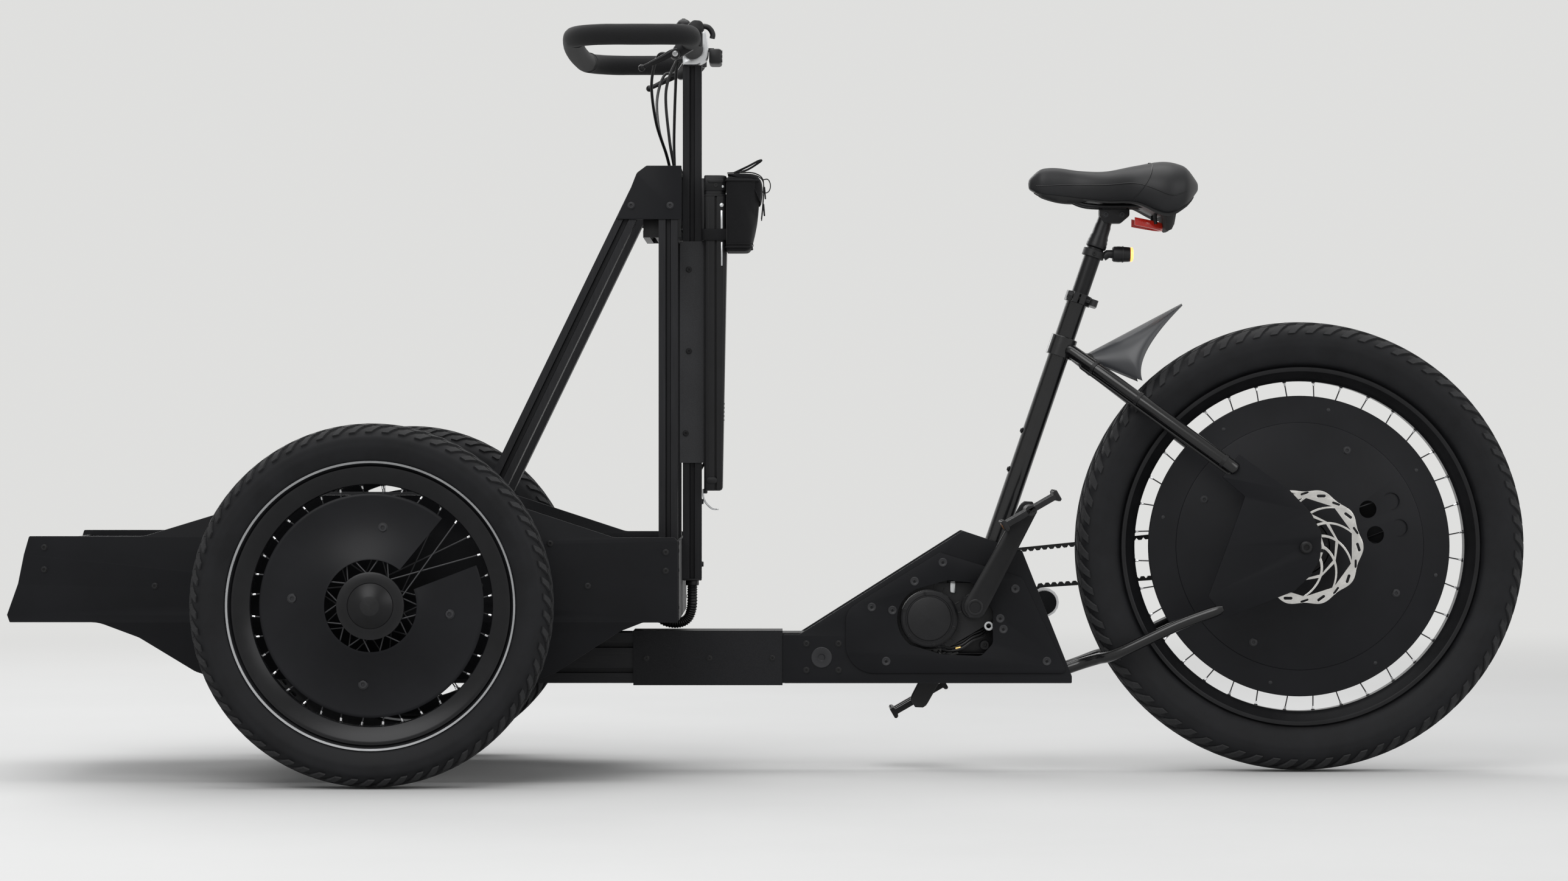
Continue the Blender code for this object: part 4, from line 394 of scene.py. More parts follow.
class Shape:
    """A mesh in the making, which becomes one piece. It takes millimetres and makes metres."""

    def __init__(self):
        self.bm = bmesh.new()

    def rows(self, rows, wrap=True, loop=False):
        """Faces between rows of points; wrap closes each row, loop joins last to first."""
        rows = [[self.bm.verts.new([size * MM for size in p]) for p in row] for row in rows]
        pairs = list(zip(rows, rows[1:])) + ([(rows[-1], rows[0])] if loop else [])
        count = len(rows[0])
        for first, second in pairs:
            for j in range(count if wrap else count - 1):
                k = (j + 1) % count
                self.bm.faces.new((first[j], first[k], second[k], second[j]))
        if wrap and not loop:
            self.bm.faces.new(rows[0])
            self.bm.faces.new(list(reversed(rows[-1])))
        return self

    def lathe(self, profile, centre, steps=48, axis=(0, 1, 0)):
        """Turn a closed loop of (radius, height) about an axis through centre."""
        tilt = Vector(axis).to_track_quat("Z", "Y").to_matrix().to_4x4()
        frame = Matrix.Translation(centre) @ tilt
        profile = [(max(r, 0.01), h) for r, h in profile]
        angles = [2 * pi * i / steps for i in range(steps)]
        return self.rows([[frame @ Vector((r * cos(a), r * sin(a), h)) for r, h in profile]
                          for a in angles], loop=True)

    def rod(self, start, end, radius, steps=20, bevel=0.6):
        start, end = Vector(start), Vector(end)
        length = (end - start).length
        bevel = min(bevel, length / 3, radius / 3)
        return self.lathe(((0, 0), (radius - bevel, 0), (radius, bevel), (radius, length - bevel),
                           (radius - bevel, length), (0, length)), start, steps, end - start)

    def bar(self, place, y0, y1, radius, steps=20, bevel=0.6):
        """A rod across the bike, at a place in side view."""
        return self.rod(at(place, y=y0), at(place, y=y1), radius, steps, bevel)

    def tube(self, points, radius, steps=14, closed=False, flat=1.0, up=None):
        """A round or flattened bar along points; radius may be a list."""
        points = [Vector(p) for p in points]
        radii = radius if isinstance(radius, list) else [radius] * len(points)
        ends = [points[-1], *points, points[0]] if closed else [points[0], *points, points[-1]]
        tangents = [(after - before).normalized() for before, after in zip(ends, ends[2:])]
        side = Vector(up) if up else tangents[0].orthogonal()
        turns = [2 * pi * k / steps for k in range(steps)]
        rows = []
        for spot, r, t in zip(points, radii, tangents):
            side = (side - t * side.dot(t)).normalized()
            other = t.cross(side)
            rows.append([spot + r * (cos(a) * side + flat * sin(a) * other) for a in turns])
        return self.rows(rows, loop=closed)

    def plate(self, loops, low, high, edge=0.6, frame=Matrix()):
        """Flat loops, holes among them, with softened edges, between two local heights."""
        curve = bpy.data.curves.new("plate", "CURVE")
        curve.dimensions = "2D"
        curve.fill_mode = "BOTH"
        edge = min(edge, abs(high - low) / 3) * MM
        curve.extrude = abs(high - low) / 2 * MM - edge
        curve.bevel_depth = edge
        curve.bevel_resolution = 1
        curve.offset = -edge
        for loop in loops:
            spline = curve.splines.new("POLY")
            spline.points.add(len(loop) - 1)
            for point, (x, y) in zip(spline.points, loop):
                point.co = (x * MM, y * MM, 0, 1)
            spline.use_cyclic_u = True
        obj = added("plate", curve)
        bpy.context.view_layer.update()
        mesh = evaluated(obj)
        mesh.transform(frame @ Matrix.Translation((0, 0, (low + high) / 2 * MM)))
        self.bm.from_mesh(mesh)
        bpy.data.objects.remove(obj, do_unlink=True)
        bpy.data.meshes.remove(mesh)
        return self

    def side(self, loops, y0, y1, edge=0.6):
        """A plate drawn in side view, between two values of Y."""
        return self.plate(loops, -max(y0, y1), -min(y0, y1), edge, Matrix.Rotation(pi / 2, 4, "X"))

    def box(self, low, high, edge=0.8):
        low, high = Vector(low) * MM, Vector(high) * MM
        size = [max(abs(v), 1e-5) for v in high - low]
        # bevelled in a mesh of its own: inside the shared one the faces' order varies from run to run
        block = bmesh.new()
        bmesh.ops.create_cube(block, size=1, matrix=Matrix.Diagonal((*size, 1)))
        bmesh.ops.bevel(block, geom=block.edges, offset=min(edge * MM, min(size) / 3), segments=2,
                        profile=0.5, affect="EDGES")
        bmesh.ops.transform(block, matrix=Matrix.Translation((low + high) / 2), verts=block.verts)
        mesh = bpy.data.meshes.new("block")
        block.to_mesh(mesh)
        block.free()
        self.bm.from_mesh(mesh)
        bpy.data.meshes.remove(mesh)
        return self

    def screw(self, place, axis, radius, height, socket=True):
        """A cap screw's head on a washer, its hex socket cut into the top."""
        profile = [(0, 0), (1.25, 0), (1.25, 0.18), (1, 0.22), (1, 0.86), (0.88, 1)]
        if socket:
            profile += [(0.52, 1), (0.50, 0.45), (0, 0.42)]
        else:
            profile += [(0.4, 1.10), (0, 1.13)]
        return self.lathe([(radius * r, height * h) for r, h in profile], place, 24, axis)

    def screws(self, y, places, radius, height, socket=True):
        """Screws at places (x, z) on a face at y, turned away from the middle."""
        for x, z in places:
            self.screw((x, y, z), (0, copysign(1, y), 0), radius, height, socket)
        return self

    def plain(self, name):
        """The bare object, with no place in the frame."""
        bmesh.ops.remove_doubles(self.bm, verts=self.bm.verts, dist=0.00001)
        bmesh.ops.dissolve_degenerate(self.bm, edges=self.bm.edges, dist=0.000002)
        bmesh.ops.recalc_face_normals(self.bm, faces=self.bm.faces)
        mesh = bpy.data.meshes.new(name)
        self.bm.to_mesh(mesh)
        self.bm.free()
        return added(name, mesh)

    def piece(self, name, material, body, *nodes, slot=None, sharp=32, soft=False):
        """The object riding on a body, in place of the named nodes."""
        obj = self.plain(name)
        obj.data.materials.append(material)
        obj.data.shade_smooth()
        if soft:
            soften(obj)
        else:
            obj.data.set_sharp_from_angle(angle=radians(sharp))
        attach(obj, body)
        if nodes:
            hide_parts(*nodes)
        return obj


def keep(material, width, *names):
    """Carried-over CAD nodes: a material of their own and softened edges."""
    for name in names:
        obj = frame["nodes"][name]
        for place in obj.material_slots:
            place.material = material
        if width:
            step = obj.modifiers.new("edges", "BEVEL")
            step.width = width * MM
            step.segments = 2
            step.limit_method = "ANGLE"
            step.angle_limit = radians(40)
            step.harden_normals = True


# Stage, lights and camera, in metres

def seen_rays(tree):
    """One for the rays that look at a surface, in the picture or in a reflection."""
    path = tree.node("LightPath").outputs
    either = path["Is Camera Ray"]
    for ray in ("Is Glossy Ray", "Is Transmission Ray"):
        either = tree.node("Math", either, path[ray], operation="ADD",
                           use_clamp=True).outputs["Value"]
    return either


def fade(material):
    """The floor takes the backdrop's colour away from the object."""
    tree = Tree(material)
    place = tree.node("TexCoord").outputs["Object"]
    reach = tree.node("VectorMath", place, operation="LENGTH").outputs["Value"]
    share = tree.node("MapRange", reach, interpolation_type="SMOOTHSTEP", From_Min=1.6,
                      From_Max=6.0).outputs["Result"]
    both = tree.node("Math", share, seen_rays(tree), operation="MULTIPLY").outputs["Value"]
    own = tree.nodes["Principled BSDF"].outputs["BSDF"]
    plain = tree.node("Emission", Color=BACKDROP).outputs["Emission"]
    mix = tree.node("MixShader", both, own, plain)
    tree.fill(tree.nodes["Material Output"], Surface=mix.outputs["Shader"])
    return material


def stage():
    scene = bpy.context.scene
    scene.view_settings.view_transform = "Standard"
    scene.world = bpy.data.worlds.new("studio")
    tree = Tree(scene.world)
    air = tree.fill(tree.nodes["Background"], Color=(0.86, 0.87, 0.89, 1), Strength=0.55)
    seen = tree.node("Background", Color=BACKDROP)
    mix = tree.node("MixShader", seen_rays(tree), air.outputs["Background"],
                    seen.outputs["Background"])
    tree.fill(tree.nodes["World Output"], Surface=mix.outputs["Shader"])
    wide = 40 / MM
    ground = Shape().rows([[(x, -wide, 0), (x, wide, 0)] for x in (-wide, wide)],
                          wrap=False).plain("floor")
    ground.data.materials.append(fade(look("pale_floor", "floor", (5600, 5600, 5550), 0.75,
                                           patch=0.8, spread=0.03, grain=60, depth=400, spec=0.2)))
    for name, place, size, watts in (
            ("key", (1.6, 4.6, 4.2), 4.2, 170), ("fill", (-4.2, 3.2, 2.4), 3.4, 65),
            ("top", (0.0, -0.4, 4.6), 4.6, 130), ("rim", (2.4, -4.4, 3.0), 3.2, 90)):
        data = bpy.data.lights.new(name, "AREA")
        data.shape = "DISK"
        data.size = size
        data.energy = watts
        lamp = added(name, data)
        lamp.location = place
        aim = Vector((0, 0, 0.45)) - Vector(place)
        lamp.rotation_mode = "QUATERNION"
        lamp.rotation_quaternion = aim.to_track_quat("-Z", "Y")
    data = bpy.data.cameras.new("camera")
    data.sensor_width = 36
    data.lens = 100.6
    data.shift_y = 16 / 2576
    camera = added("camera", data)
    camera.location = (-0.0065, 7.0, 0.512)
    camera.rotation_euler = (pi / 2, 0, pi)
    scene.camera = camera


# Wheels

def tyre_path(radius, half, rim_radius, bead):
    """Half of a tyre's section from bead to crown, as (radius, height)."""
    middle = (radius + rim_radius) / 2 + 2
    return smooth(((rim_radius - 7, bead), (rim_radius + 1.5, bead + 1.4),
                   (rim_radius + 10, bead + (half - bead) * 0.62), (middle - 6, half * 0.985),
                   (middle + 8, half * 0.995), (radius - 16.5, half * 0.925),
                   (radius - 9, half * 0.74), (radius - 4.6, half * 0.45), (radius - 3, 0)), 46)


def tread(centre, path, count, rows, height, skew):
    """Slanted blocks over the crown and shoulders, each a low wedge on the path."""
    shape = Shape()
    whole = [Vector(p) for p in mirrored(path)]
    lengths = [0.0]
    for before, after in zip(whole, whole[1:]):
        lengths.append(lengths[-1] + (after - before).length)

    def spot(across, angle, lift):
        along = lengths[-1] / 2 + across
        index = max(i for i in range(len(lengths) - 1) if lengths[i] <= along)
        share = (along - lengths[index]) / (lengths[index + 1] - lengths[index])
        step = whole[index + 1] - whole[index]
        r, y = whole[index] + step * share + Vector((-step.y, step.x)).normalized() * lift
        return polar(centre, r, angle, y)

    cuts = 3
    for low, high, wide, phase, lean in rows:
        half = wide * pi / count
        for index in range(count):
            for sign in (1, -1):
                base = 2 * pi * (index + phase + (0.5 if sign < 0 else 0.0)) / count
                block = []
                for t in [step / cuts for step in range(cuts + 1)]:
                    across = sign * (low + (high - low) * t)
                    angle = base + lean * skew * (t - 0.5)
                    reach = half * (1.0 - 0.25 * t)
                    block.append([spot(across, angle + reach * share, lift) for share, lift in
                                  ((-1, -1.2), (-0.82, height), (0.82, height), (1, -1.2))])
                shape.rows(block)
    return shape


def wheel(tag, body, centre, radius, half, rim_r, rim_depth, rim_w, hub, flange_y, nodes, blocks,
          rows, skew):
    """Tyre, tread, rim, hub and crossed spokes."""
    taper, wall, bed_depth, bead_depth = 0.45, 2.5, 9, 7
    w = rim_w / 2
    bed = w * (1 - (1 - taper) * bed_depth / rim_depth) - wall
    bead = w - (w - bed) * bead_depth / bed_depth - SKIN
    path = tyre_path(radius - BLOCK + 3, half, rim_r, bead)
    ridged = []
    for r, y in path:
        t = (r - rim_r) / (radius - rim_r)
        ridge = any(low < t < high for low, high in ((0.07, 0.095), (0.33, 0.35), (0.60, 0.62)))
        ridged.append((r, min(y + 0.6 * ridge, half)))
    Shape().lathe(mirrored(ridged), centre, 160).piece(tag + "_tyre_carcass", TYRE, body, nodes[0],
                                                       sharp=50)
    tread(centre, path, blocks, rows, BLOCK - 1.2, skew).piece(tag + "_tyre_tread", TREAD, body)
    inner = rim_r - rim_depth
    lip = ((rim_r, w - 2.2), (rim_r + 0.6, w - 1.2), (rim_r, w - 0.2), (rim_r - 3, w),
           (rim_r - 6.2, w * 0.965), (inner + 6, w * (taper + 0.16)),
           (inner + 1.2, w * taper + 0.6), (inner, w * taper - 1.5))
    loop = mirrored(lip) + [(rim_r - bed_depth, -bed), (rim_r - bed_depth, bed)]
    Shape().lathe(loop, centre, 160).piece(tag + "_rim_hoop", RIM, body, nodes[1], sharp=28)
    Shape().lathe(hub, centre, 64).piece(tag + "_hub", ALLOY, body, slot="rim", sharp=28)
    wires, nipples, eyes = Shape(), Shape(), Shape()
    for index in range(SPOKES):
        side = 1 if index % 2 else -1
        lean = 1 if index % 4 < 2 else -1
        angle = (index + 0.5) * 2 * pi / SPOKES
        foot = polar(centre, HOLE_R, angle + lean * radians(40), side * (flange_y + lean * 2))
        tip = polar(centre, inner + 2, angle, side * 2)
        run = (tip - foot).normalized()
        head = Vector((0, side * 1.2, 0))
        wires.rod(foot, tip, 1.05, 8, 0.1)
        wires.rod(foot - head, foot + head, 2.1, 8, 0.4)
        nipples.rod(tip - run * 8.5, tip, 1.7, 8, 0.4)
        eyes.rod(tip - run * 3.5, tip + run, 3.1, 12, 0.5)
    wires.piece(tag + "_spokes", GREY, body, slot="rim")
    nipples.piece(tag + "_nipples", STEEL, body)
    eyes.piece(tag + "_eyelets", RIM, body)


def cover_height(radius, flange_y, rim_inner, lift):
    """The height over a wheel's middle that clears its spokes, plus lift."""
    share = (radius - HOLE_R) / (rim_inner + 4 - HOLE_R)
    return (flange_y + 2) * (1 - share) + 2 * share + 1.45 + lift


def front_wheel(side, sign):
    body = "front_wheel_" + side
    centre = at(FRONT, y=sign * TRACK / 2)
    hub = ((0, 40), (14, 40), (15.8, 39.4), (33.5, 32.6), (34.5, 31.6), (35.2, 32.2), (49, 31.8),
           (50.8, 31), (51.4, 28.5), (45, 23), (23, 19), (20.5, 16), (20.5, -16), (23, -19),
           (44.5, -23), (45, -28.5), (22, -30), (20, -36), (13.1, -36), (13.1, 25), (0, 25))
    rows = ((1.5, 10, 0.62, 0.25, 1), (12, 21.5, 0.66, 0.70, -1), (23.5, 36.5, 0.58, 0.15, -1))
    wheel("front_" + side, body, centre, 277, 38, 210.5, 27.5, 44, [(r, sign * y) for r, y in hub],
          26, ("front_tyre_" + side, "front_rim_" + side), 66, rows, radians(2.6))

    def face(r, lift):
        return sign * cover_height(r, 26, 183, lift)

    inner = 70
    profile = [(r, face(max(r, inner), lift)) for r, lift in
               ((170, 0.2), (inner, 0.2), (69.6, 1.1), (inner, 2), (74, 2), (75, 1.4), (164, 1.4),
                (165, 1.9), (169, 1.9), (170, 1.2))]
    start, end = radians(159), radians(129) + 2 * pi
    fan = [start + (end - start) * i / 120 for i in range(121)]
    cover = Shape().rows([[polar(centre, r, a, y) for r, y in profile] for a in fan])
    cover.piece("front_%s_cover_disc" % side, COVER, body, "front_cover_" + side)
    places = [around(FRONT, 119.5, radians(a)) for a in (98.7, 5.3, 186.1, 275.6)]
    screws = Shape().screws(centre.y + face(119.5, 1.2), places, 6, 3.2)
    screws.piece("front_%s_cover_screws" % side, GREY, body)
    stripe = Shape()
    r0 = 217.2
    y = min((abs(r - r0), y) for r, y in tyre_path(275.5, 38, 210.5, 19.5))[1]
    for turn in (1, -1):
        stripe.lathe([(r0 + dr, turn * (y + dy)) for dr, dy in
                      ((-1.6, -1.8), (-1.4, 0.6), (1.4, 3), (1.8, 0.8))], centre, 160)
    stripe.piece("front_%s_stripe" % side, STRIPE, body)


def rear_wheel():
    body = "rear_wheel"
    flange = ((43.8, 37.2), (45, 36.2), (45, 31.2), (43.8, 30.4), (26.2, 26.2), (24, 23))
    hub = [(14, 97), (21.5, 84.2), (21.5, 79.7), (25.5, 79.7), (27, 78.5), (27, 37.2)]
    hub += mirrored(flange) + [(20, -37.2), (20, -70), (14, -97), (6.5, -97), (6.5, 97)]
    rows = ((2, 13, 0.60, 0.25, 1), (15, 27, 0.64, 0.72, -1), (29, 47.5, 0.58, 0.20, -1))
    wheel("rear", body, at(REAR), 359, 44, 285, 22, 60, hub, 34, ("rear_tyre", "rear_rim"), 76,
          rows, radians(2.8))
    thick, rim = 3.45, 1.6

    def height(r, lift=thick):
        return cover_height(r, 34, 263, lift)

    for side, sign in SIDES:
        profile = [(r, sign * height(under, lift)) for r, under, lift in
                   ((240, 240, 0), (45.5, 45.5, 0), (45.5, 45.5, thick), (51.5, 51.5, thick),
                    (195.4, 197, thick - 0.1), (197, 197, thick - 0.6), (197.8, 197, rim),
                    (236, 240, rim), (239, 240, 1.4), (240, 240, 0.8))]
        disc = Shape().lathe(profile, at(REAR), 160).piece("rear_%s_cover_disc" % side, COVER, body,
                                                           "rear_cover_" + side, sharp=26)
        if side == "left":
            cutter, plugs = Shape(), Shape()
            for place in moved(REAR, ((-107, 59), (-119, 18.5))):
                cutter.bar(place, 10, 70, 13.9, 40)
            pierce(disc, cutter.plain("cutter"))
            for dx, dz in ((-145, 72), (-158, 29.5)):
                plugs.lathe(((12.6, -1), (14.2, -1), (14, 0.7), (13, 0.7)),
                            at(REAR, dx, dz, height(hypot(dx, dz))))
            plugs.piece("rear_left_cover_plugs", COVER, body)
        screws = Shape().screws(sign * height(170), ring(REAR, 170, 4, radians(116)), 5.2, 2.8)
        screws.screws(sign * height(222, 1.2), ring(REAR, 222, 8, radians(12)), 2.6, 1.2, False)
        screws.piece("rear_%s_cover_screws" % side, GREY, body)
    rotor()


def pierce(obj, tool):
    """Cut the tool's shape out of an object's own mesh."""
    bore = obj.modifiers.new("holes", "BOOLEAN")
    bore.operation = "DIFFERENCE"
    bore.object = tool
    bore.solver = "EXACT"
    bpy.context.view_layer.update()
    cut = evaluated(obj)
    obj.modifiers.clear()
    obj.data = cut
    cut.shade_smooth()
    cut.set_sharp_from_angle(angle=radians(26))
    bpy.data.objects.remove(tool, do_unlink=True)


def rotor():
    lobes, y = 10, 80
    turns = [2 * pi * i / 200 for i in range(200)]
    loops = [[around(REAR, 90.5 + 2.5 * cos(lobes * a), a) for a in turns], ring(REAR, 22.2, 48)]
    for index in range(2 * lobes):
        middle = pi * index / lobes
        loops.append(link(around(REAR, 83.5, middle - 0.055), 2.2,
                          around(REAR, 86.5, middle + 0.055), 2.2, 8))

    def arm_edge(index, r, side):
        return around(REAR, r, 2 * pi * index / lobes + 0.95 * (r - 30) / 48 + side * 2.6 / r)

    for index in range(lobes):
        for low, high in ((31, 49.5), (53.5, 77.5)):
            radii = [low + (high - low) * i / 6 for i in range(7)]
            loops.append([arm_edge(index, r, 1) for r in radii]
                         + [arm_edge(index + 1, r, -1) for r in reversed(radii)])
    Shape().side(loops, y, y + 2, 0.3).piece("brake_rotor_disc", ROTOR, "rear_wheel",
                                             "brake_rotor", sharp=40)
    bolts = Shape().screws(y + 2, ring(REAR, 28.5, 6, 0.2), 2.4, 1.6)
    bolts.lathe(((21.5, 82.2), (26.2, 82.2), (26.8, 82.8), (26.2, 84.6), (21.5, 84.6)), at(REAR))
    bolts.piece("brake_rotor_lockring", ALLOY, "rear_wheel")


# Main beam, gear case and drive

def gear_case():
    body = "rear_frame"
    arc = [(*around((71.5, -19.5), 51, radians(125 * i / 24 - 55)), 0) for i in range(25)]
    window = outline(arc + list(WINDOW_OUTLINE), CRANK)
    tongue = ((266.5, -59), (215.5, -59), (266.5, -101), (215.5, -101))
    standoffs = ((163, -1), (140, -87), (-115, -87), (-65, 28))
    eyelets = ((50, 70), (95, 40), (130, -6), *standoffs, (-41, -19), (-46, -36))
    for side, sign in SIDES:
        wall = Shape().side([outline(CASE_OUTLINE, CRANK), window], sign * PLATE_IN,
                            sign * PLATE_OUT)
        wall.side([outline(LAYER_OUTLINE, CRANK), window], sign * (PLATE_OUT - 0.2),
                  sign * LAYER_OUT, 0.5)
        if side == "right":
            idler = (CRANK[0] - 117, CRANK[1] + 3.13)
            wall.side([link((CRANK[0] - 70, CRANK[1] - 20), 24, idler, 19)], -PLATE_IN, -PLATE_OUT)
        wall.piece("case_%s_plates" % side, COAT, body, "case_plate_" + side)
        if side == "right":
            pin = Shape().lathe(((0, -69), (8, -69), (8.8, -68.2), (8.8, -66.3), (5, -66.3),
                                 (5, -51.7), (8.8, -51.7), (8.8, -42), (0, -42)), at(idler), 40)
            for place in moved(CRANK, standoffs):
                pin.bar(place, -42.3, 40, 5, 24)
            pin.piece("case_standoffs", ALLOY, body)
        cups = Shape()
        for dx, dz in eyelets:
            cups.lathe(((2.9, -1), (6.6, -1), (7, 0.4), (6.2, 1.2), (4, 1), (2.9, 0.4)),
                       at(CRANK, dx, dz, sign * LAYER_OUT), 32, (0, sign, 0))
        cups.lathe(((0, -1), (16.5, -1), (16.5, 1.2), (15.5, 2), (6, 1.6), (4.5, 0.4), (0, 0.4)),
                   (CRANK[0] + 242.5, sign * PLATE_OUT, BEAM_Z + 1), 48, (0, sign, 0))
        cups.piece("case_%s_eyelets" % side, GREY, body, slot="grey_plate")
        bolts = Shape().screws(sign * (LAYER_OUT - 0.8), moved(CRANK, eyelets), 2.9, 1.4)
        bolts.screws(sign * PLATE_OUT, moved(CRANK, tongue), 4.2, 3)
        bolts.piece("case_%s_bolts" % side, ALLOY, body)
    keep(ANODISED_LONG, 0.4, "main_beam")
    keep(COAT, 1, "beam_sleeve")
    screws = Shape().box((658, -39.5, BEAM_Z - 39.5), (657.3, 39.5, BEAM_Z + 39.5), 2)
    for y in (43.3, -43.3):
        screws.screws(y, [(x, BEAM_Z) for x in (12, 112, 212)], 4, 2.4)
    screws.piece("beam_fixings", ALLOY, body)


def motor():
    body = "rear_frame"
    keep(MOTOR, 1.2, "motor")
    centre = at(MOTOR_AT)
    x, z = MOTOR_AT
    cap = Shape().lathe(((0, 50), (33, 50), (34.5, 49.4), (35.2, 48), (37.2, 47.8), (38, 48.4),
                         (42.5, 47.8), (45, 46.2), (46, 44), (46, 38), (45.2, 37.4), (46, 36.8),
                         (46, 29), (0, 29)), centre, 96)
    cap.piece("motor_cover_cap", MOTOR, body, "motor_cover", slot="plastic", sharp=24)
    heads = Shape().screws(48, ring(MOTOR_AT, 41, 6, radians(20)), 2.2, 1.4)
    heads.piece("motor_cover_screws", ALLOY, body)
    ribs = Shape()
    for turn in range(16):
        a = radians(100 + 260 * turn / 15)
        ribs.tube((polar(centre, 47.5, a, 26.2), polar(centre, 54.5, a, 26.2)), 2.2, 10)
    ribs.bar(CRANK, 27, 36, 21, 48, 1.5)
    ribs.bar(CRANK, 35, 44, 16.5, 48, 1.2)
    ribs.piece("motor_ribs", MOTOR, body)
    plugs = Shape().box((x - 20, 20, z - 56.5), (x + 12, 34, z - 47), 1.5)
    for index in range(3):
        px, y, z0 = x - 14 + 10 * index, 30 - 3 * index, 195.5 + 5 * index
        plugs.tube(smooth(((px, 30, z - 48), (px - 4, 36, z - 56), (px - 16, 34, z - 58.5),
                           (px - 32, 28, z - 54.5)), 14), 2.1, 10)
        plugs.tube(smooth(((-256, y, z0), (-272, y, z0 - 3), (-290, y, z0 + 2),
                           (-306, y - 3, z0 + 13), (-322, y - 6, z0 + 20),
                           (-334, y - 14, z0 + 30)), 40), 2.1, 10)
    plugs.piece("motor_plugs", CABLE, body)
    inside = Shape()
    inside.side([outline(((-264, 187, 6), (-343, 187, 10), (-343, 240, 10), (-264, 240, 6)))],
                -34, 13, 2)
    inside.side([outline(((-256, 290, 4), (-312, 290, 4), (-312, 311, 4), (-256, 311, 4)))],
                -34, 16, 2)
    buttons = ((-280, 200), (-300, 218), (-326, 202))
    for place in buttons:
        inside.bar(place, 12, 19, 7.5, 32, 1)
    inside.screws(18.8, buttons, 3, 2.2)
    inside.piece("motor_connector_block", MOTOR, body)
    trim = Shape().lathe(((3.4, 12), (7.4, 12), (7.6, 29), (6.8, 30), (4, 30), (3.4, 29)),
                         (-332, 0, 232.5), 40)
    trim.box((-279.5, 15, 285), (-270.5, 33, 303), 2)
    trim.piece("motor_clip", SILVER, body)
    band = Shape().rod((-279, 28.5, 196), (-288, 28.5, 197.5), 3, 24)
    band.piece("motor_lead_band", GOLD, body)


def cranks():
    keep(BELT, 0, "drive_belt")
    keep(ALLOY, 0.5, "front_sprocket")
    keep(STEEL, 0.4, "rear_sprocket")
    keep(STEEL, 0.8, "idler_pulley")
    hub_r, tip_r, count = 18, 14.5, 40
    section = ((-1, 0.12), (-1, 0.82), (-0.86, 0.97), (-0.45, 1.0), (0.45, 1.0), (0.86, 0.97),
               (1, 0.82), (1, 0.12), (0.88, 0.0), (-0.88, 0.0))
    for side, sign in SIDES:
        way = Vector((-sign * sin(CRANK_ANGLE), 0, sign * cos(CRANK_ANGLE)))
        across = Vector((-way.z, 0, way.x))
        rows = []
        for index in range(count + 1):
            t = index / count
            along = t * (CRANK_LENGTH + hub_r + tip_r) - hub_r
            if along < 0:
                half = sqrt(max(hub_r ** 2 - along ** 2, 0))
            elif along > CRANK_LENGTH:
                half = sqrt(max(tip_r ** 2 - (along - CRANK_LENGTH) ** 2, 0))
            else:
                half = hub_r + (tip_r - hub_r) * along / CRANK_LENGTH
            half = max(half, 0.4)
            crown = ARM_OUT - ARM_IN - 1.2 * (2 * t - 1) ** 2
            rows.append([at(CRANK, y=sign * (ARM_IN + crown * v)) + way * along + across * (half * u)
                         for u, v in section])
        Shape().rows(rows).piece("crank_%s_arm" % side, ALLOY, "crank", "crank_" + side, sharp=40)
        trim = Shape().lathe(((0, -4), (12.5, -4), (12.5, 0.2), (11.5, 1), (9, 0.8), (8.6, -0.6),
                              (5.2, -0.8), (5, -2.6), (0, -2.6)),
                             at(CRANK, y=sign * (ARM_OUT - 0.2)), 40, (0, sign, 0))
        if side == "right":
            trim.bar(CRANK, -69, 67.5, 12, 40)
            trim.screws(-65, ring(CRANK, 46, 5, pi / 5), 4, 2)
        trim.piece("crank_%s_bolt" % side, ALLOY, "crank")
        pedal(side, sign, at(CRANK) + way * CRANK_LENGTH)


def pedal(side, sign, end):
    body = "pedal_" + side
    start = ARM_OUT + SKIN
    low, high = start + 12, start + 97
    half, web, lip, tall = 50, 4.5, 6, 10
    turned = Matrix.Translation(end * MM) @ Matrix.Rotation(radians(30), 4, "Y")
    base, pins, bars = Shape(), Shape(), Shape()
    for way in (1, -1):
        edge, inset = way * half, way * (half - lip)
        groove = inset - way * 2
        base.side([outline(((edge, tall - 1, 2), (inset, tall - 1, 2), (groove, web, 1),
                            (groove, -web, 1), (inset, 1 - tall, 2), (edge, 1 - tall, 2)))],
                  sign * low, sign * high, 1)
        for index in range(5):
            y = sign * (low + 8 + 17 * index)
            pins.rod((way * (half - 3), y, -tall), (way * (half - 3), y, tall), 1.3, 10, 0.2)
        bars.box((way * (half + 0.2), sign * (low + 20), -5.5),
                 (way * (half - 4), sign * (high - 20), 5.5), 1)
    for y0 in (low, high - 10, (low + high) / 2 - 5):
        base.side([outline([(x * (half - lip), z * web, 1) for x, z in
                            ((-1, -1), (1, -1), (1, 1), (-1, 1))])],
                  sign * y0, sign * (y0 + 10), 1)
    base.bar((0, 0), sign * low, sign * high, 9, 32, 1.5)
    pins.bar((0, 0), sign * start, sign * (low + 1), 6.5, 32)
    pins.bar((0, 0), sign * (high - 2), sign * (high - 0.2), 6, 6, 0.4)
    for shape, name, material, nodes in ((base, "body", PLASTIC, [body]), (pins, "pins", ALLOY, []),
                                         (bars, "reflector", AMBER, [])):
        bmesh.ops.transform(shape.bm, matrix=turned, verts=shape.bm.verts)
        shape.piece("pedal_%s_%s" % (side, name), material, body, *nodes)


# Rear frame: seat tube, stays, fork and what they carry

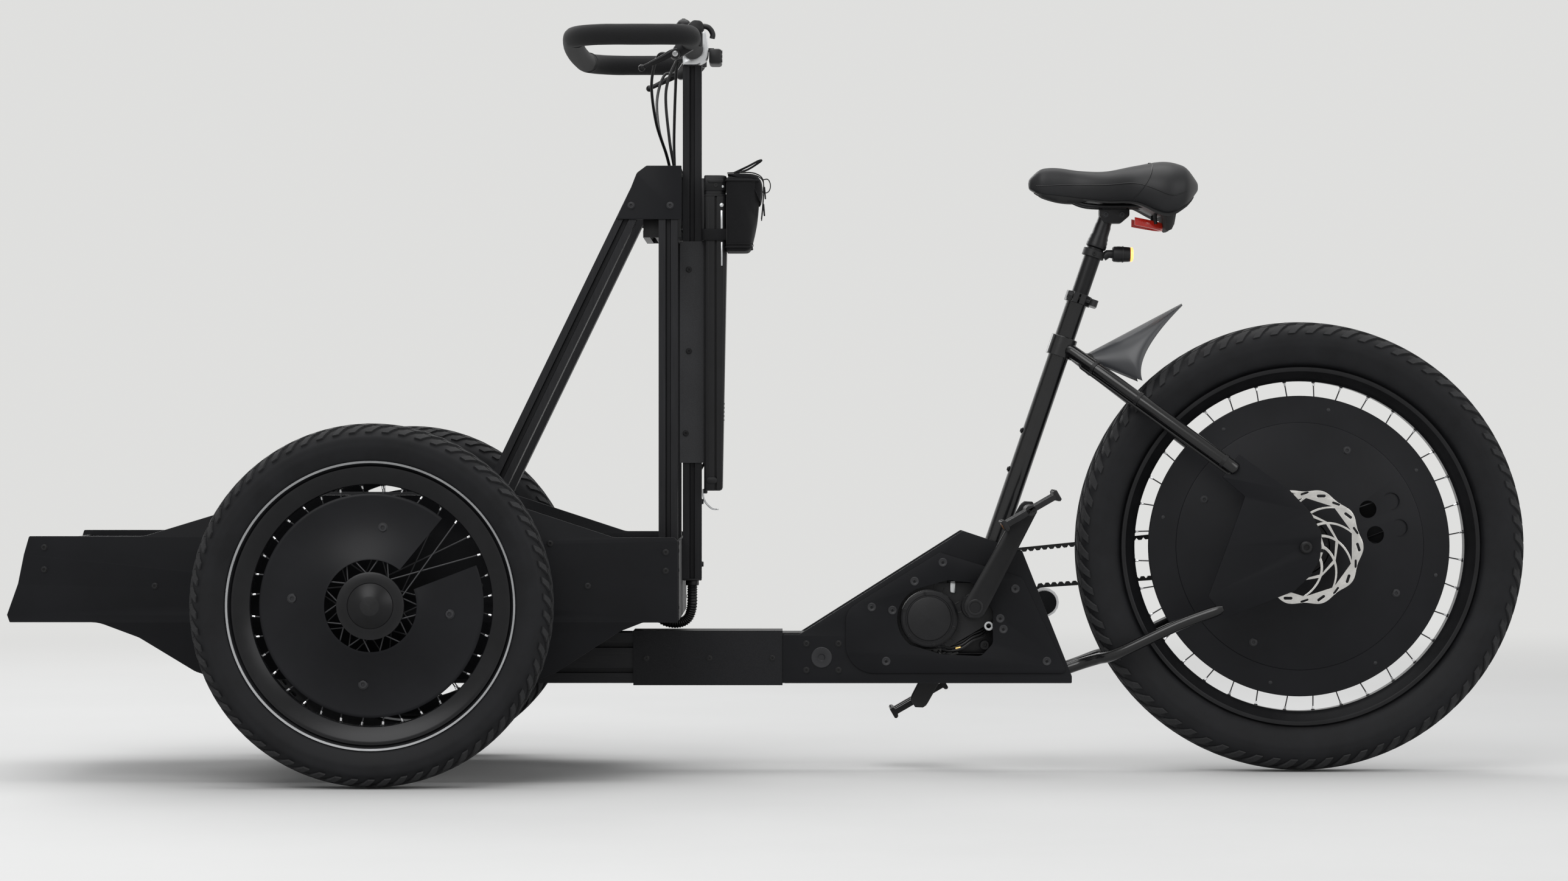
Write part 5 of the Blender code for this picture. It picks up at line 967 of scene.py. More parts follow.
def rear_triangle():
    body = "rear_frame"
    base = up_tube(0)
    pipe = Shape().lathe(((14, 78), (16.3, 78), (16.3, 521), (16.8, 522.5), (16.8, 526.2),
                          (16.3, 527), (14, 527)), base, 64, SEAT_UP)
    foot = (up_tube(78).x, up_tube(78).z)
    pipe.bar(foot, -40, 40, 18, 48, 1.2)
    pipe.lathe(((15, 94), (18.2, 96), (18.4, 98.5), (16.3, 101), (15, 101)), base, 64, SEAT_UP)
    pipe.piece("seat_tube_pipe", GLOSS, body, "seat_tube")
    fixings = Shape()
    for place in (225, 290):
        spot = up_tube(place, -16)
        fixings.rod(spot, spot - SEAT_BACK * 2, 4.8, 24)
        fixings.screw(spot - SEAT_BACK * 1.5, -SEAT_BACK, 3, 2.2)
    for y in (40, -40):
        fixings.screws(y, [foot], 5, 2.8)
    fixings.piece("seat_tube_bosses", ALLOY, body)
    top, end = up_tube(436.6, 10), at(REAR, 118.5, 128.5)
    end += (end - top).normalized() * 12
    down = Vector((top.z - end.z, 0, end.x - top.x)).normalized()
    spread = ((0, 13), (0.10, 30), (0.22, 47), (0.45, 67), (0.72, 87), (0.93, 100), (1, 100))
    stays = Shape().lathe(((16.6, 420.6), (20.6, 420.6), (21.2, 421.2), (21.2, 451.8),
                           (20.6, 452.6), (16.6, 452.6)), base, 64, SEAT_UP)
    clips = Shape()
    for sign in (-1, 1):
        route = smooth([top.lerp(end, s) + Vector((0, sign * y, 0)) for s, y in spread], 46)
        stays.tube(route, [8] + [10.5] * 44 + [9.8, 7], 28)
        for index in (12, 22, 38):
            clips.lathe(((10.4, -3), (11.6, -3), (11.8, 3), (10.4, 3)), route[index], 32,
                        route[index + 1] - route[index])
    hose = [p + down * 12.8 for p in route[8:44]]
    clips.tube([route[6] + down * 6, *hose, route[44] + down * 4], 2.6, 12)
    stays.bar((REAR[0] + 336.5, REAR[1] + 300), -30, 30, 6.8, 32)
    stays.piece("seat_stays_tubes", GLOSS, body, "seat_stays")
    clips.piece("seat_stays_hose", CABLE, body)
    fork()


def fork():
    body = "rear_frame"
    foot = (CRANK[0] - 136, CRANK[1] - 104)
    bars = Shape().bar(foot, -40, 40, 11, 40, 1)
    plates, axle = Shape(), Shape()
    for sign in (1, -1):
        route = [at(foot, dx, dz, sign * y) for dx, dz, y in
                 ((0, 0, 29.5), (-34, 12, 31), (-60, 21, 47), (-91, 31, 67))]
        route += [at(REAR, 200, -123, sign * 86), at(REAR, 130, -96, sign * 100)]
        bars.tube(smooth(route, 50), [9] * 48 + [8.8, 8, 5], 24)
        plates.side([outline(DROPOUT, REAR), ring(REAR, 6.8)], sign * 97.5, sign * 102.5)
        axle.lathe(((0, 102.8), (9.5, 102.8), (9.5, 104), (8.4, 104.8), (8.4, 107.8),
                    (7.4, 108.6), (4.6, 108.6), (4.4, 105.2), (0, 105)), at(REAR), 48, (0, sign, 0))
    axle.bar(REAR, -102.8, 102.8, 6, 32)
    bars.piece("rear_fork_chain_stays", GLOSS, body, "rear_fork", slot="steel_frame")
    plates.piece("rear_fork_dropouts", COAT, body, slot="steel_frame")
    axle.piece("rear_axle_bolt", ALLOY, body, "rear_axle", slot="steel")
    keep(ALLOY, 2, "rear_caliper")
    way = Vector((65, 0, 38)).normalized()
    parts = Shape()
    for along, across in ((68, 14), (95, -13), (95, 13)):
        spot = at(REAR, y=69.2) + way * along + Vector((-way.z, 0, way.x)) * across
        parts.screw(spot, (0, -1, 0), 3.4, 3)
    parts.piece("rear_caliper_bolts", STEEL, body)


def mudguard():
    root, tip = at(REAR, 347, 301.5), at(REAR, 187, 386.5)
    wing, bulge = at(REAR, 253.3, 264, 46), at(REAR, 268.5, 305, 44)
    start, last = root + Vector((0, 12, 0)), tip + Vector((0, 12, -2))
    along = (tip - root).normalized()
    normal = Vector((along.z, 0, -along.x))
    stations, across, widest, thick = 40, 26, 0.35, 0.9
    rows = []
    for i in range(stations + 1):
        s = i / stations
        spine = root.lerp(tip, s)
        if s < widest:
            edge = start.lerp(wing, s / widest)
        else:
            t = (s - widest) / (1 - widest)
            edge = (1 - t) ** 2 * wing + 2 * t * (1 - t) * bulge + t ** 2 * last
        row = []
        for j in range(across + 1):
            u = 2 * j / across - 1
            spot = spine.lerp(Vector((edge.x, 0, edge.z)), 1 - cos(u * pi / 2))
            spot.y = edge.y * sin(u * pi / 2)
            rib = max(0.0, 1 - abs(abs(u) - 0.30) / 0.06) * min(1.0, s * 4, (1 - s) * 5)
            row.append(spot + normal * rib)
        rows.append([p + normal * thick for p in row] + [p - normal * thick for p in reversed(row)])
    sheet = Shape().rows(rows)
    sheet.piece("mudguard_sheet", FLAP, "rear_frame", "mudguard", sharp=60)
    ties = Shape()
    spot = root.lerp(tip, 0.045)
    for y in (7.5, -7.5):
        ties.box(spot + Vector((-2.2, y - 2.2, -17)), spot + Vector((2.2, y + 2.2, 2.6)))
    ties.piece("mudguard_ties", PLASTIC, "rear_frame")


# Saddle post, saddle and lamps

def saddle_post():
    body = "saddle_post"
    keep(ALLOY, 1, "seat_collar")
    keep(ALLOY, 2.2, "clamp_lever")
    post = Shape().lathe(((0, 377), (13.6, 377), (13.6, 603), (15, 604), (16.3, 605.2),
                          (16.5, 610), (15.8, 612), (16, 615), (14.8, 618), (15, 621), (13.6, 625),
                          (13, 640), (12, 643.8), (12, 657.8), (0, 657.8)), up_tube(0), 64, SEAT_UP)
    head = up_tube(663.8)
    place = (head.x, head.z)
    post.side([outline(((-34, -6, 6), (-20, -18, 6), (6, -18, 8), (14, -6, 5), (14, 6, 3),
                        (-34, 6, 3)), place)], -13.5, 13.5, 1.2)
    post.side([outline(((-30, 4.5, 2), (11, 4.5, 2), (8, 15.5, 4), (-27, 15.5, 4)), place)],
              -20, 20, 1.2)
    post.piece("seatpost_tube", ALLOY, body, "seatpost")
    bolts = Shape()
    for dx in (-22, 4):
        for y in (13.2, -13.2):
            bolts.screws(y, moved(place, [(dx, -4)]), 4.2, 3.5)
        bolts.bar((head.x + dx, head.z + 9), -22.5, 22.5, 3)
    bolts.piece("seatpost_bolts", GREY, body)
    saddle(head)
    lamps(head)


def saddle(head):
    body = "saddle_post"
    first, last = STATIONS[0][0] + 6, STATIONS[-1][0] - 4
    count, steps = 46, 15
    section = smooth(((0, 1), (0.40, 0.985), (0.74, 0.90), (0.94, 0.70), (1, 0.46), (0.95, 0.22),
                      (0.84, 0.10)), steps)
    ends = with_ends([s[1:] for s in STATIONS])

    def spot(x, u, v, sign):
        """A point of the section at x, u of the half width out and v of the height up."""
        index = max(i for i in range(len(STATIONS) - 1) if STATIONS[i][0] <= x)
        x0, x1 = STATIONS[index][0], STATIONS[index + 1][0]
        low, high, half = bend(*ends[index:index + 4], (x - x0) / (x1 - x0))
        nose = min(1.0, sqrt(max(0.0, (last + 4 - x) / 24)))
        rear = min(1.0, sqrt(max(0.0, (x - first + 4) / 26)))
        pinch = min(nose, rear)
        z = low + (high - low) * (0.45 + (v - 0.45) * (0.25 + 0.75 * pinch))
        width = half * u * (0.30 + 0.70 * pinch)
        if v > 0.8:
            z -= 4.5 * max(0.0, 1 - (width / 10) ** 2) * clamp((20 - x) / 50) * clamp((x + 140) / 30)
        return head + Vector((x, sign * width, z))

    rows = []
    for i in range(count + 1):
        x = first + (last - first) * i / count
        rows.append([spot(x, *p, 1) for p in reversed(section)]
                    + [spot(x, *p, -1) for p in section[1:]])
    pad = Shape().rows(rows).piece("saddle_cover", VINYL, body, "saddle", soft=True)
    seams, rails = Shape(), Shape()
    for sign in (1, -1):
        line = []
        for i in range(4, count - 1):
            x = first + (last - first) * i / count
            rise = 0.40 + 0.18 * sin(pi * clamp((x + 100) / 200))
            out = min(section, key=lambda p: abs(p.y - rise) + (0 if p.x > 0.8 else 1)).x
            line.append(spot(x, out + 0.004, rise, sign))
        seams.tube(smooth(line, 90), 0.7, 8)
        panel = []
        for t in [i / 12 for i in range(13)]:
            x = -62 - 40 * sin(pi * t / 2) * (1 - t) + 28 * t
            p = section[min(steps, int(2 + t * (steps - 4)))]
            panel.append(spot(x, p.x + 0.002, p.y + 0.002, sign))
        seams.tube(smooth(panel, 40), 0.6, 8)
        route = ((-108, sign * 30, 12), (-75, sign * 27, 9.5), (-35, sign * 21.5, 9),
                 (15, sign * 21.5, 9), (45, sign * 16.5, 13), (80, sign * 8, 30))
        rails.tube([head + p for p in smooth(route, 40)], 3.5)
    seams.piece("saddle_seams", SIDE_VINYL, body)
    rows = []
    for i in range(61):
        x = first + 10 + (last - first - 20) * i / 60
        edge = spot(x, 0.86, 0.08, 1) - head
        lift = 18 * max(0.0, 1 - abs(x + 10) / 30)
        keel = 12 * max(0.0, 1 - ((x - 72) / 45) ** 2)
        lip = 27 * max(0.0, 1 - ((x + 95) / 12.5) ** 4)
        row = []
        for s in (-1, -0.8, -0.4, 0, 0.4, 0.8, 1):
            z = 10 * (1 - abs(s)) + lift * (1 - s ** 4) - keel * (1 - s ** 6) - lip * (abs(s) < 0.5)
            row.append(head + Vector((x, edge.y * s, edge.z + z)))
        row += [head + Vector((x, edge.y * s * 0.98, edge.z + 14 + lift)) for s in (1, 0, -1)]
        rows.append(row)
    # The base takes the shell colour, which carries painted shade for the underside.
    Shape().rows(rows).piece("saddle_base", SHELL_PAINTED_SHADE, body, sharp=60)
    rails.piece("saddle_rails", ALLOY, body)


def lamps(head):
    body = "saddle_post"
    middle = up_tube(594)
    back = Vector((-1, 0, -0.02)).normalized()
    arm = Shape().lathe(collar(13.9, 17.8, -6, 6, 0.6, 0.8), middle, 48, SEAT_UP)
    arm.tube([middle + SEAT_BACK * 16.5] + [middle + back * d for d in (23, 29, 34)], 6.8, 20)
    arm.lathe(((0, 30), (10.5, 30), (12.2, 32), (12.8, 40), (11.8, 56), (11.2, 59), (0, 59)),
              middle, 48, back)
    arm.lathe(((11, 45), (13.1, 45.5), (13.1, 47.5), (11, 48)), middle, 48, back)
    arm.piece("tail_light_body", PLASTIC, body, "tail_light")
    lens = Shape().lathe(((0, 58.5), (11.2, 58.5), (11.8, 60), (10.8, 62.5), (7, 63.6), (0, 64)),
                         middle, 48, back)
    lens.piece("tail_light_lens", LIT_LENS, body)
    clip = Shape().screws(16.8, [(middle.x, middle.z)], 3.2, 3)
    clip.piece("tail_light_bolt", ALLOY, body)
    holder = Shape()
    spot = head + Vector((-86.5, 0, -24))
    rows = []
    for a in [radians(180 * i / 32 - 90) for i in range(33)]:
        inward = Vector((cos(a), -sin(a), 0)) * 3.5
        edge = spot + Vector((46 * (1 - cos(a)), 36 * sin(a), 8.5 * (1 - cos(a))))
        rows.append([edge + inward * d + Vector((0, 0, h)) for d, h in
                     ((0, -6.2), (-0.3, -4), (-0.3, 4), (0, 6.2), (1, 6.2), (1, -6.2))])
    Shape().rows(rows).piece("saddle_reflector", RED_LENS_PAINTED_GLOW, body, sharp=50)
    for sign in (1, -1):
        holder.tube([spot + Vector(p) for p in ((12, sign * 26.5, 4), (13, sign * 27, 12),
                                                (13, sign * 28, 20))], 3, 12)
    holder.piece("saddle_reflector_arms", PLASTIC, body)


# Front module

def cargo_bay():
    body = "front_module"
    bolts, strips = Shape(), Shape()
    for side, sign in SIDES:
        wall = Shape().side([outline(SIDE_OUTLINE, FRONT), ring(FRONT, 12.9)],
                            sign * (SIDE_Y - 6), sign * SIDE_Y, 0.8)
        wall.piece("side_%s_plate" % side, COAT, body, "side_plate_" + side)
        places = ((1130, 362.8), (1130, 328.9), (353.1, 368.7), (175.1, 355.2), (175.1, 326.5),
                  (881.9, 368.7), (460, 303.5), (775, 303.5), (295, 303.5), (960, 303.5))
        bolts.screws(sign * SIDE_Y, places, 4, 3)
        for z in (369.3, 357.4, 327.7, 270):
            y = sign * (SIDE_Y - 11)
            bolts.rod((157.5, y, z), (154.5, y, z), 3.2)
        for reach, radius, steps in ((2.2, 24.5, 48), (6.2, 20, 6), (120.5, 12.3, 40)):
            bolts.bar(FRONT, sign * (SIDE_Y - 0.2), sign * (SIDE_Y + reach), radius, steps, 1)
        for y in (190, 65):
            strips.box((330, sign * y - 6, 309.4), (1110, sign * y + 6, 311), 0.6)
    bolts.piece("bay_fixings", ALLOY, body)
    strips.piece("deck_runners", WEBBING, body, slot="deck")
    keep(DECK, 1, "cargo_deck")
    keep(COAT, 0.7, "front_cross_plate", "rear_cross_plate")
    keep(COAT, 1.2, "front_axle")
    route = [at(p) for p in ((140, 306), (140, 285), (141, 260), (148, 243), (164, 236),
                             (185, 240), (201, 256), (207, 276), (208, 297))]
    hose = Shape().tube(smooth(route, 90), [8.5 if i % 2 else 7.1 for i in range(91)], 24)
    hose.rod((140, 0, 306.8), (140, 0, 296), 10.5, 6, 1)
    hose.rod((208, 0, 297.4), (208, 0, 286), 10.5, 6, 1)
    hose.piece("post_conduit", CABLE, body, sharp=60)


def tower():
    body = "front_module"
    keep(ANODISED, 0.4, "upright_left", "upright_right", "brace_left", "brace_right",
         "handlebar_post")
    keep(ANODISED_SIDE, 0.4, "tower_crossbar")
    x0, x1, y0, y1 = 155.2, FRONT[0] - 410.5, -CAP_INNER - 2.9, CAP_INNER + 2.9
    cap = Shape().plate([[(x0, y0), (x1, y0), (x1, y1), (x0, y1)], ring((FRONT[0] - 446, 0), 10, 32)],
                        955, 957.8, 0.4)
    bolts = Shape()
    caps = Shape().box((125, -14.8, 304.2), (154.8, 14.8, 307))
    for sign in (1, -1):
        cap.side([outline(CAP_OUTLINE, (FRONT[0], 0))], sign * CAP_INNER, sign * (CAP_INNER + 3))
        bolts.screws(sign * (CAP_INNER + 3), ((232.9, 895.5), (171.9, 895.5)), 4.6, 3.6)
        bolts.lathe(((0, 0), (5.5, 0), (5, 2.2), (3, 3.8), (0, 4.2)), (202, sign * 60, 957.6), 32,
                    (0, 0, 1))
        bolts.screws(sign * 135, [(175, 330)], 4.2, 3.2)
        caps.box((155.6, sign * 103, 847.4), (214.8, sign * 104.9, 876.6), 0.3)
    cap.piece("tower_cap_sheet", COAT, body, "tower_cap")
    for z in (330, 430):
        bolts.screw((124.9, 0, z), (-1, 0, 0), 4, 3)
    bolts.piece("tower_bolts", GREY, body)
    caps.piece("bar_end_caps", PLASTIC, body)


def battery():
    body = "front_module"
    keep(GREY, 0.8, "battery_bracket")
    face, tail, low, high, half = 120.7, 84.5, 447.5, 949.8, 33.8
    split = 923.7

    def rows(*levels):
        made = []
        for z, inset in levels:
            lean = max(0.0, (830 - z) / (830 - low)) * 7
            x0, x1, y = tail + lean + inset, face - inset * 0.3, half - inset
            notch = ((100.2, 0), (100.2, 6), (103.8, 6), (103.8, 0)) if z < split - 7 else ()
            made.append(level([(x0, -y, 9), *[(x, d - y, 0) for x, d in notch], (x1, -y, 4),
                               (x1, y, 4), *[(x, y - d, 0) for x, d in reversed(notch)],
                               (x0, y, 9)], z))
        return made

    case = Shape().rows(rows((low, 4), (low + 1.5, 1.2), (low + 5, 0),
                             *[(low + 5 + (split - 7.5 - low - 5) * i / 14, 0)
                               for i in range(1, 15)]))
    case.rows(rows((split - 7, 0), (split - 4.5, 0), (split - 4, 2)))
    case.rows(rows((split - 4.1, 2), (split + 1.3, 2)))
    case.rows(rows((split + 1.2, 0.6), (split + 2, 0), (high - 4, 0), (high - 1.2, 1.2), (high, 4)))
    case.box((face - 0.5, -32.5, 844.5), (124.9, 32.5, high - 5), 1)
    case.piece("battery_case", MOTOR, body, "battery", slot="plastic", sharp=40)
    trim, bright, line, bolts = Shape(), Shape(), Shape(), Shape()
    for sign in (1, -1):
        y = sign * half
        sunk = y - sign * 0.4
        trim.box((113.5, y - 0.6, 470), (114.5, y + 0.6, 905), 0.3)
        trim.side([link((92.5, 940.2), 3, (112, 940.2), 3)], y - sign, y + sign * 1.6)
        trim.side([link((104.5, 464), 5, (112, 464), 5)], y - sign, y + sign * 2.2, 0.8)
        trim.screws(sunk, [(102, 933.5)], 3.4, 2)
        bright.screws(sunk, [(91, 931.5)], 1.5, 1.2)
        line.box((91, y - 0.4, 861), (94.2, y + 0.8, 893.5), 0.3)
        line.box((91.2, y - 0.4, 805.5), (93.6, y + 0.8, 843), 0.3)
        line.lathe(((0, 0), (3.4, 0), (3, 1), (0, 1.4)), (92.6, y, 902), 28, (0, sign, 0))
        bolts.screws(sign * 18.8, ((145, 800), (150, 539), (145, 670)), 4, 3)
    trim.box((tail - 1.4, -10, 880), (tail + 1, 10, 902))
    trim.box((tail - 2.2, -6, 884), (tail + 1, 6, 890), 0.6)
    trim.box((116, -24, 443), (121, 24, 452), 1)
    for rise in [6.5 * i for i in range(5)]:
        trim.lathe(((0, 0), (1.6, 0), (1.4, 0.8), (0, 1)),
                   (tail + 4.5 + (20 - rise) * 0.018, 18, 560 + rise), 16, (-1, 0, 0))
    bail = [(122.5, 20, 450), (122.5, 20, 440), (119, 18.5, 429), (109, 16, 419), (100, 9, 417.5)]
    bail += [(98.5, 0, 417.5)] + [(x, -y, z) for x, y, z in reversed(bail)]
    bright.tube(smooth(bail, 70), 1.1, 10)
    trim.piece("battery_trim", PLASTIC, body)
    bright.piece("battery_screws", SILVER, body)
    line.piece("battery_strip", SILVER, body)
    bolts.piece("bracket_bolts", ALLOY, body)
    plug = Shape().tube(smooth(
        ((112, -33.5, 496), (113.5, -39, 496), (122, -40, 490), (133, -36, 470), (142, -26, 445),
         (148, -17, 405), (149, -16.5, 350), (149, -16.5, 310)), 80), 2.4, 12)
    plug.bar((112, 496), -33, -39.5, 5.5, 28, 1)
    plug.piece("battery_lead", CABLE, body)


def swell(obj, pinned, cap):
    """Blow a closed cloth form up a little, then keep each point within cap of where it was."""
    scene = bpy.context.scene
    remesh = obj.modifiers.new("cells", "REMESH")
    remesh.mode = "VOXEL"
    remesh.voxel_size = 4 * MM
    mesh = evaluated(obj)
    mesh.materials.clear()
    mesh.materials.append(obj.data.materials[0])
    obj.modifiers.clear()
    obj.data = mesh
    start = [v.co.copy() for v in mesh.vertices]
    group = obj.vertex_groups.new(name="held")
    group.add([i for i, co in enumerate(start) if pinned(co / MM)], 1.0, "REPLACE")
    cloth = obj.modifiers.new("cloth", "CLOTH")
    cloth.settings.quality = 6
    cloth.settings.mass = 0.25
    cloth.settings.vertex_group_mass = "held"
    cloth.settings.use_pressure = True
    cloth.settings.uniform_pressure_force = 4.0
    cloth.settings.effector_weights.gravity = 0
    for frame_number in range(1, 21):
        scene.frame_set(frame_number)
    graph = bpy.context.evaluated_depsgraph_get()
    blown = obj.evaluated_get(graph).to_mesh()
    swollen = [v.co.copy() for v in blown.vertices]
    for vertex, before, after in zip(mesh.vertices, start, swollen):
        step = after - before
        if step.length > cap * MM:
            step *= cap * MM / step.length
        vertex.co = before + step
    obj.evaluated_get(graph).to_mesh_clear()
    obj.modifiers.clear()
    obj.vertex_groups.clear()
    scene.frame_set(1)
    mesh.shade_smooth()
    soften(obj)


def pouch():
    body = "front_module"
    face, half, low, high = 85.2, 50.5, 828, 947.5

    def slice_at(t, inset):
        x0, x1 = 47.5 - 12.5 * t ** 0.7 + inset, face - inset * 0.2
        y = half * (0.93 + 0.07 * t) - inset
        return level(((x0, -y, 8), (x1, -y, 2), (x1, y, 2), (x0, y, 8)), low + (high - low) * t)

    bag = Shape().rows([slice_at(t, inset) for t, inset in
                        ((0, 2), (0.015, 0), (0.06, 0), (0.3, 0), (0.55, 0), (0.8, 0), (0.94, 0),
                         (0.98, 3), (1.0, 9))]).piece("pouch_bag", CLOTH, body, "pouch")
    swell(bag, lambda co: co.x > face - 2 or co.z < low + 4, 5)
    seams = Shape()
    for t, inset, radius, steps in ((0.055, -1.8, 1.2, 8), (0.94, -1.8, 1.2, 8),
                                    (0.10, -2.2, 0.5, 6)):
        seams.tube(slice_at(t, inset), radius, steps, closed=True)
    seams.piece("pouch_seams", WEBBING, body)
    rows = []
    top = 951.2
    line = ((83.8, top), (65, 952), (48, 951.5), (37, 948.5), (30, 940), (29, 927), (30, 912),
            (31.8, 901))
    for s in [i / 32 for i in range(33)]:
        y = (2 * s - 1) * 47
        wave = sin(9 * s + 0.6) + 0.8 * sin(23 * s)
        drop = 1 - 0.16 * abs(2 * s - 1) ** 3
        outer = [Vector((x - wave * (k > 3), y, top - (top - z) * (drop if k > 3 else 1)))
                 for k, (x, z) in enumerate(line)]
        inner = [p + Vector((1.1 * (k > 2), 0, -1.1 * (k < 5))) for k, p in enumerate(outer)]
        rows.append(outer + list(reversed(inner)))
    lid = Shape().rows(rows).piece("pouch_flap", CLOTH, body, soft=True)
    straps = Shape()
    for y in (24, -24):
        path = [(83.8, y, 953.5), (60, y, 954.5), (40, y, 953), (27.5, y, 944), (26.2, y, 925),
                (27.5, y, 900), (29.5, y, 880)]
        straps.tube(smooth(path, 40), 7.5, 12, flat=0.12, up=(0, 1, 0))
        for x, z, wide in ((24, 923, 11), (25.5, 896, 10)):
            turns = [2 * pi * k / 28 for k in range(28)]
            rim = [(x + 0.6 * sin(a), y + wide * cos(a), z + 7.5 * sin(a)) for a in turns]
            straps.tube(rim, 1.3, 8, closed=True)
    loop = smooth([at(p) for p in ((27.5, 944), (20, 945), (15.8, 939), (16, 929), (21, 923.5),
                                   (28.5, 925))], 36)
    straps.tube(loop, 6, 12, flat=0.14, up=(0, 1, 0))
    pull = smooth(((73, 4, 955), (52, 9.5, 964.5), (35, 8, 973.5), (29.5, 0, 975.2),
                   (36, -8, 970.5), (53, -9.5, 960.5), (73, -4, 954.5)), 40)
    straps.tube(pull, 1.7, 10)
    straps.piece("pouch_straps", WEBBING, body)
    path = level(((80, -37.2, 4), (124, -37.2, 6), (124, 37.2, 6), (80, 37.2, 4)), 855)
    band = Shape().tube(path, 9, 12, closed=True, flat=0.10, up=(0, 0, 1))
    band.piece("pouch_band", WEBBING, body)


# Handlebar and its fittings

def bar_line():
    x0, half = BAR[0], BAR_HALF
    loop = outline(((x0, -half, 34), (BAR_FRONT, -half, 60), (BAR_FRONT, half, 60), (x0, half, 34)),
                   step=radians(6))
    line = []
    for a, b in zip(loop, loop[1:] + loop[:1]):
        parts = 12 if abs(b[1] - a[1]) > 100 else 1
        for i in range(parts):
            x, y = a[0] + (b[0] - a[0]) * i / parts, a[1] + (b[1] - a[1]) * i / parts
            share = max(0.0, (x - x0) / (BAR_FRONT - x0)) ** 3
            line.append(Vector((x + BAR_BOW * share * (1 - (y / half) ** 2), y, BAR[1])))
    return line


def spaced(points, gap):
    """The same line with points no further apart than gap."""
    line = [points[0]]
    for a, b in zip(points, points[1:]):
        count = max(1, ceil((b - a).length / gap))
        line += [a.lerp(b, i / count) for i in range(1, count + 1)]
    return line


def handlebar():
    body = "front_module"
    Shape().tube(bar_line(), 10.9, 28, closed=True).piece("handlebar_tube", ALLOY, body)
    route = spaced([at(BAR, y=-216), *bar_line(), at(BAR, y=216)], 6)
    radii = []
    for index, spot in enumerate(route):
        end = min(index, len(route) - 1 - index)
        radius = 16.1 + 0.22 * noise.noise(spot * MM * 45)
        if end < 2:
            radius -= (2.2, 0.6)[end]
        joint = abs(abs(spot.y) - 217.5)
        if spot.x > BAR_FRONT - 15 and joint < 5.5:
            radius -= 0.7 * (1 - joint / 5.5)
        radii.append(radius)
    foam = Shape().tube(route, radii, 32)
    foam.piece("bar_foam_grip", FOAM, body, "bar_foam", sharp=50)
    rings = Shape()
    for sign in (1, -1):
        rings.lathe(((15, -0.8), (16.6, -0.8), (16.6, 0.8), (15, 0.8)),
                    (BAR_FRONT, sign * 217.5, BAR[1]))
        rings.lathe(collar(11, 15.8, 0, 3.8, 0.8, 0.8), at(BAR, y=sign * 213), 48, (0, sign, 0))
    rings.piece("bar_rings", PLASTIC, body)
    perches(body)
    fittings(body)


def perches(body):
    clamp_set, bright = Shape(), Shape()
    pivot = at(LEVER)
    blade_y = 193.8
    for side, sign in SIDES:
        clamp_set.side([link(BAR, 15.3, LEVER, 8.3)], sign * 175.2, sign * 188.8, 1.8)
        clamp_set.rod(at(BAR, -13.5, 11, sign * 182), at(BAR, -13.5, -11, sign * 182), 5, 24, 1)
        clamp_set.rod(pivot + Vector((4, sign * 182, 1)), pivot + Vector((10.5, sign * 180.5, 1)),
                      5.2, 24, 0.8)
        bright.screw(at(BAR, -13.5, 10.8, sign * 182), (0, 0, 1), 3, 2.4)
        bright.screws(sign * 198.6, [LEVER], 3.6, 2.2)
        bright.bar(LEVER, sign * 178, sign * 199, 2.9)
        centre = pivot + Vector((0, sign * blade_y, 0))
        route = [centre + p for p in smooth([at(p) for p in (
            (-4, 2), (6, 1), (18, -5.5), (34, -13.5), (52, -22))], 34)]
        radii = [5] + [7.2 - 4 * (i / 34) ** 0.8 for i in range(1, 35)]
        lever = Shape().tube(route, radii, 20, flat=0.58, up=(0, 0, 1))
        ball = [(5.5 * sin(pi * k / 14), -5.5 * cos(pi * k / 14)) for k in range(15)]
        lever.lathe(ball, centre + Vector((52, 0, -22)), 32)
        lever.lathe(collar(3, 7.8, -4.4, 4.4, 0.4, 0.8), centre, 36)
        lever.piece("lever_%s_blade" % side, ALLOY, "brake_lever_" + side, "brake_lever_" + side)
    clamp_set.piece("lever_perches", ALLOY, body, "handlebar")
    bright.piece("lever_bolts", SILVER, body)


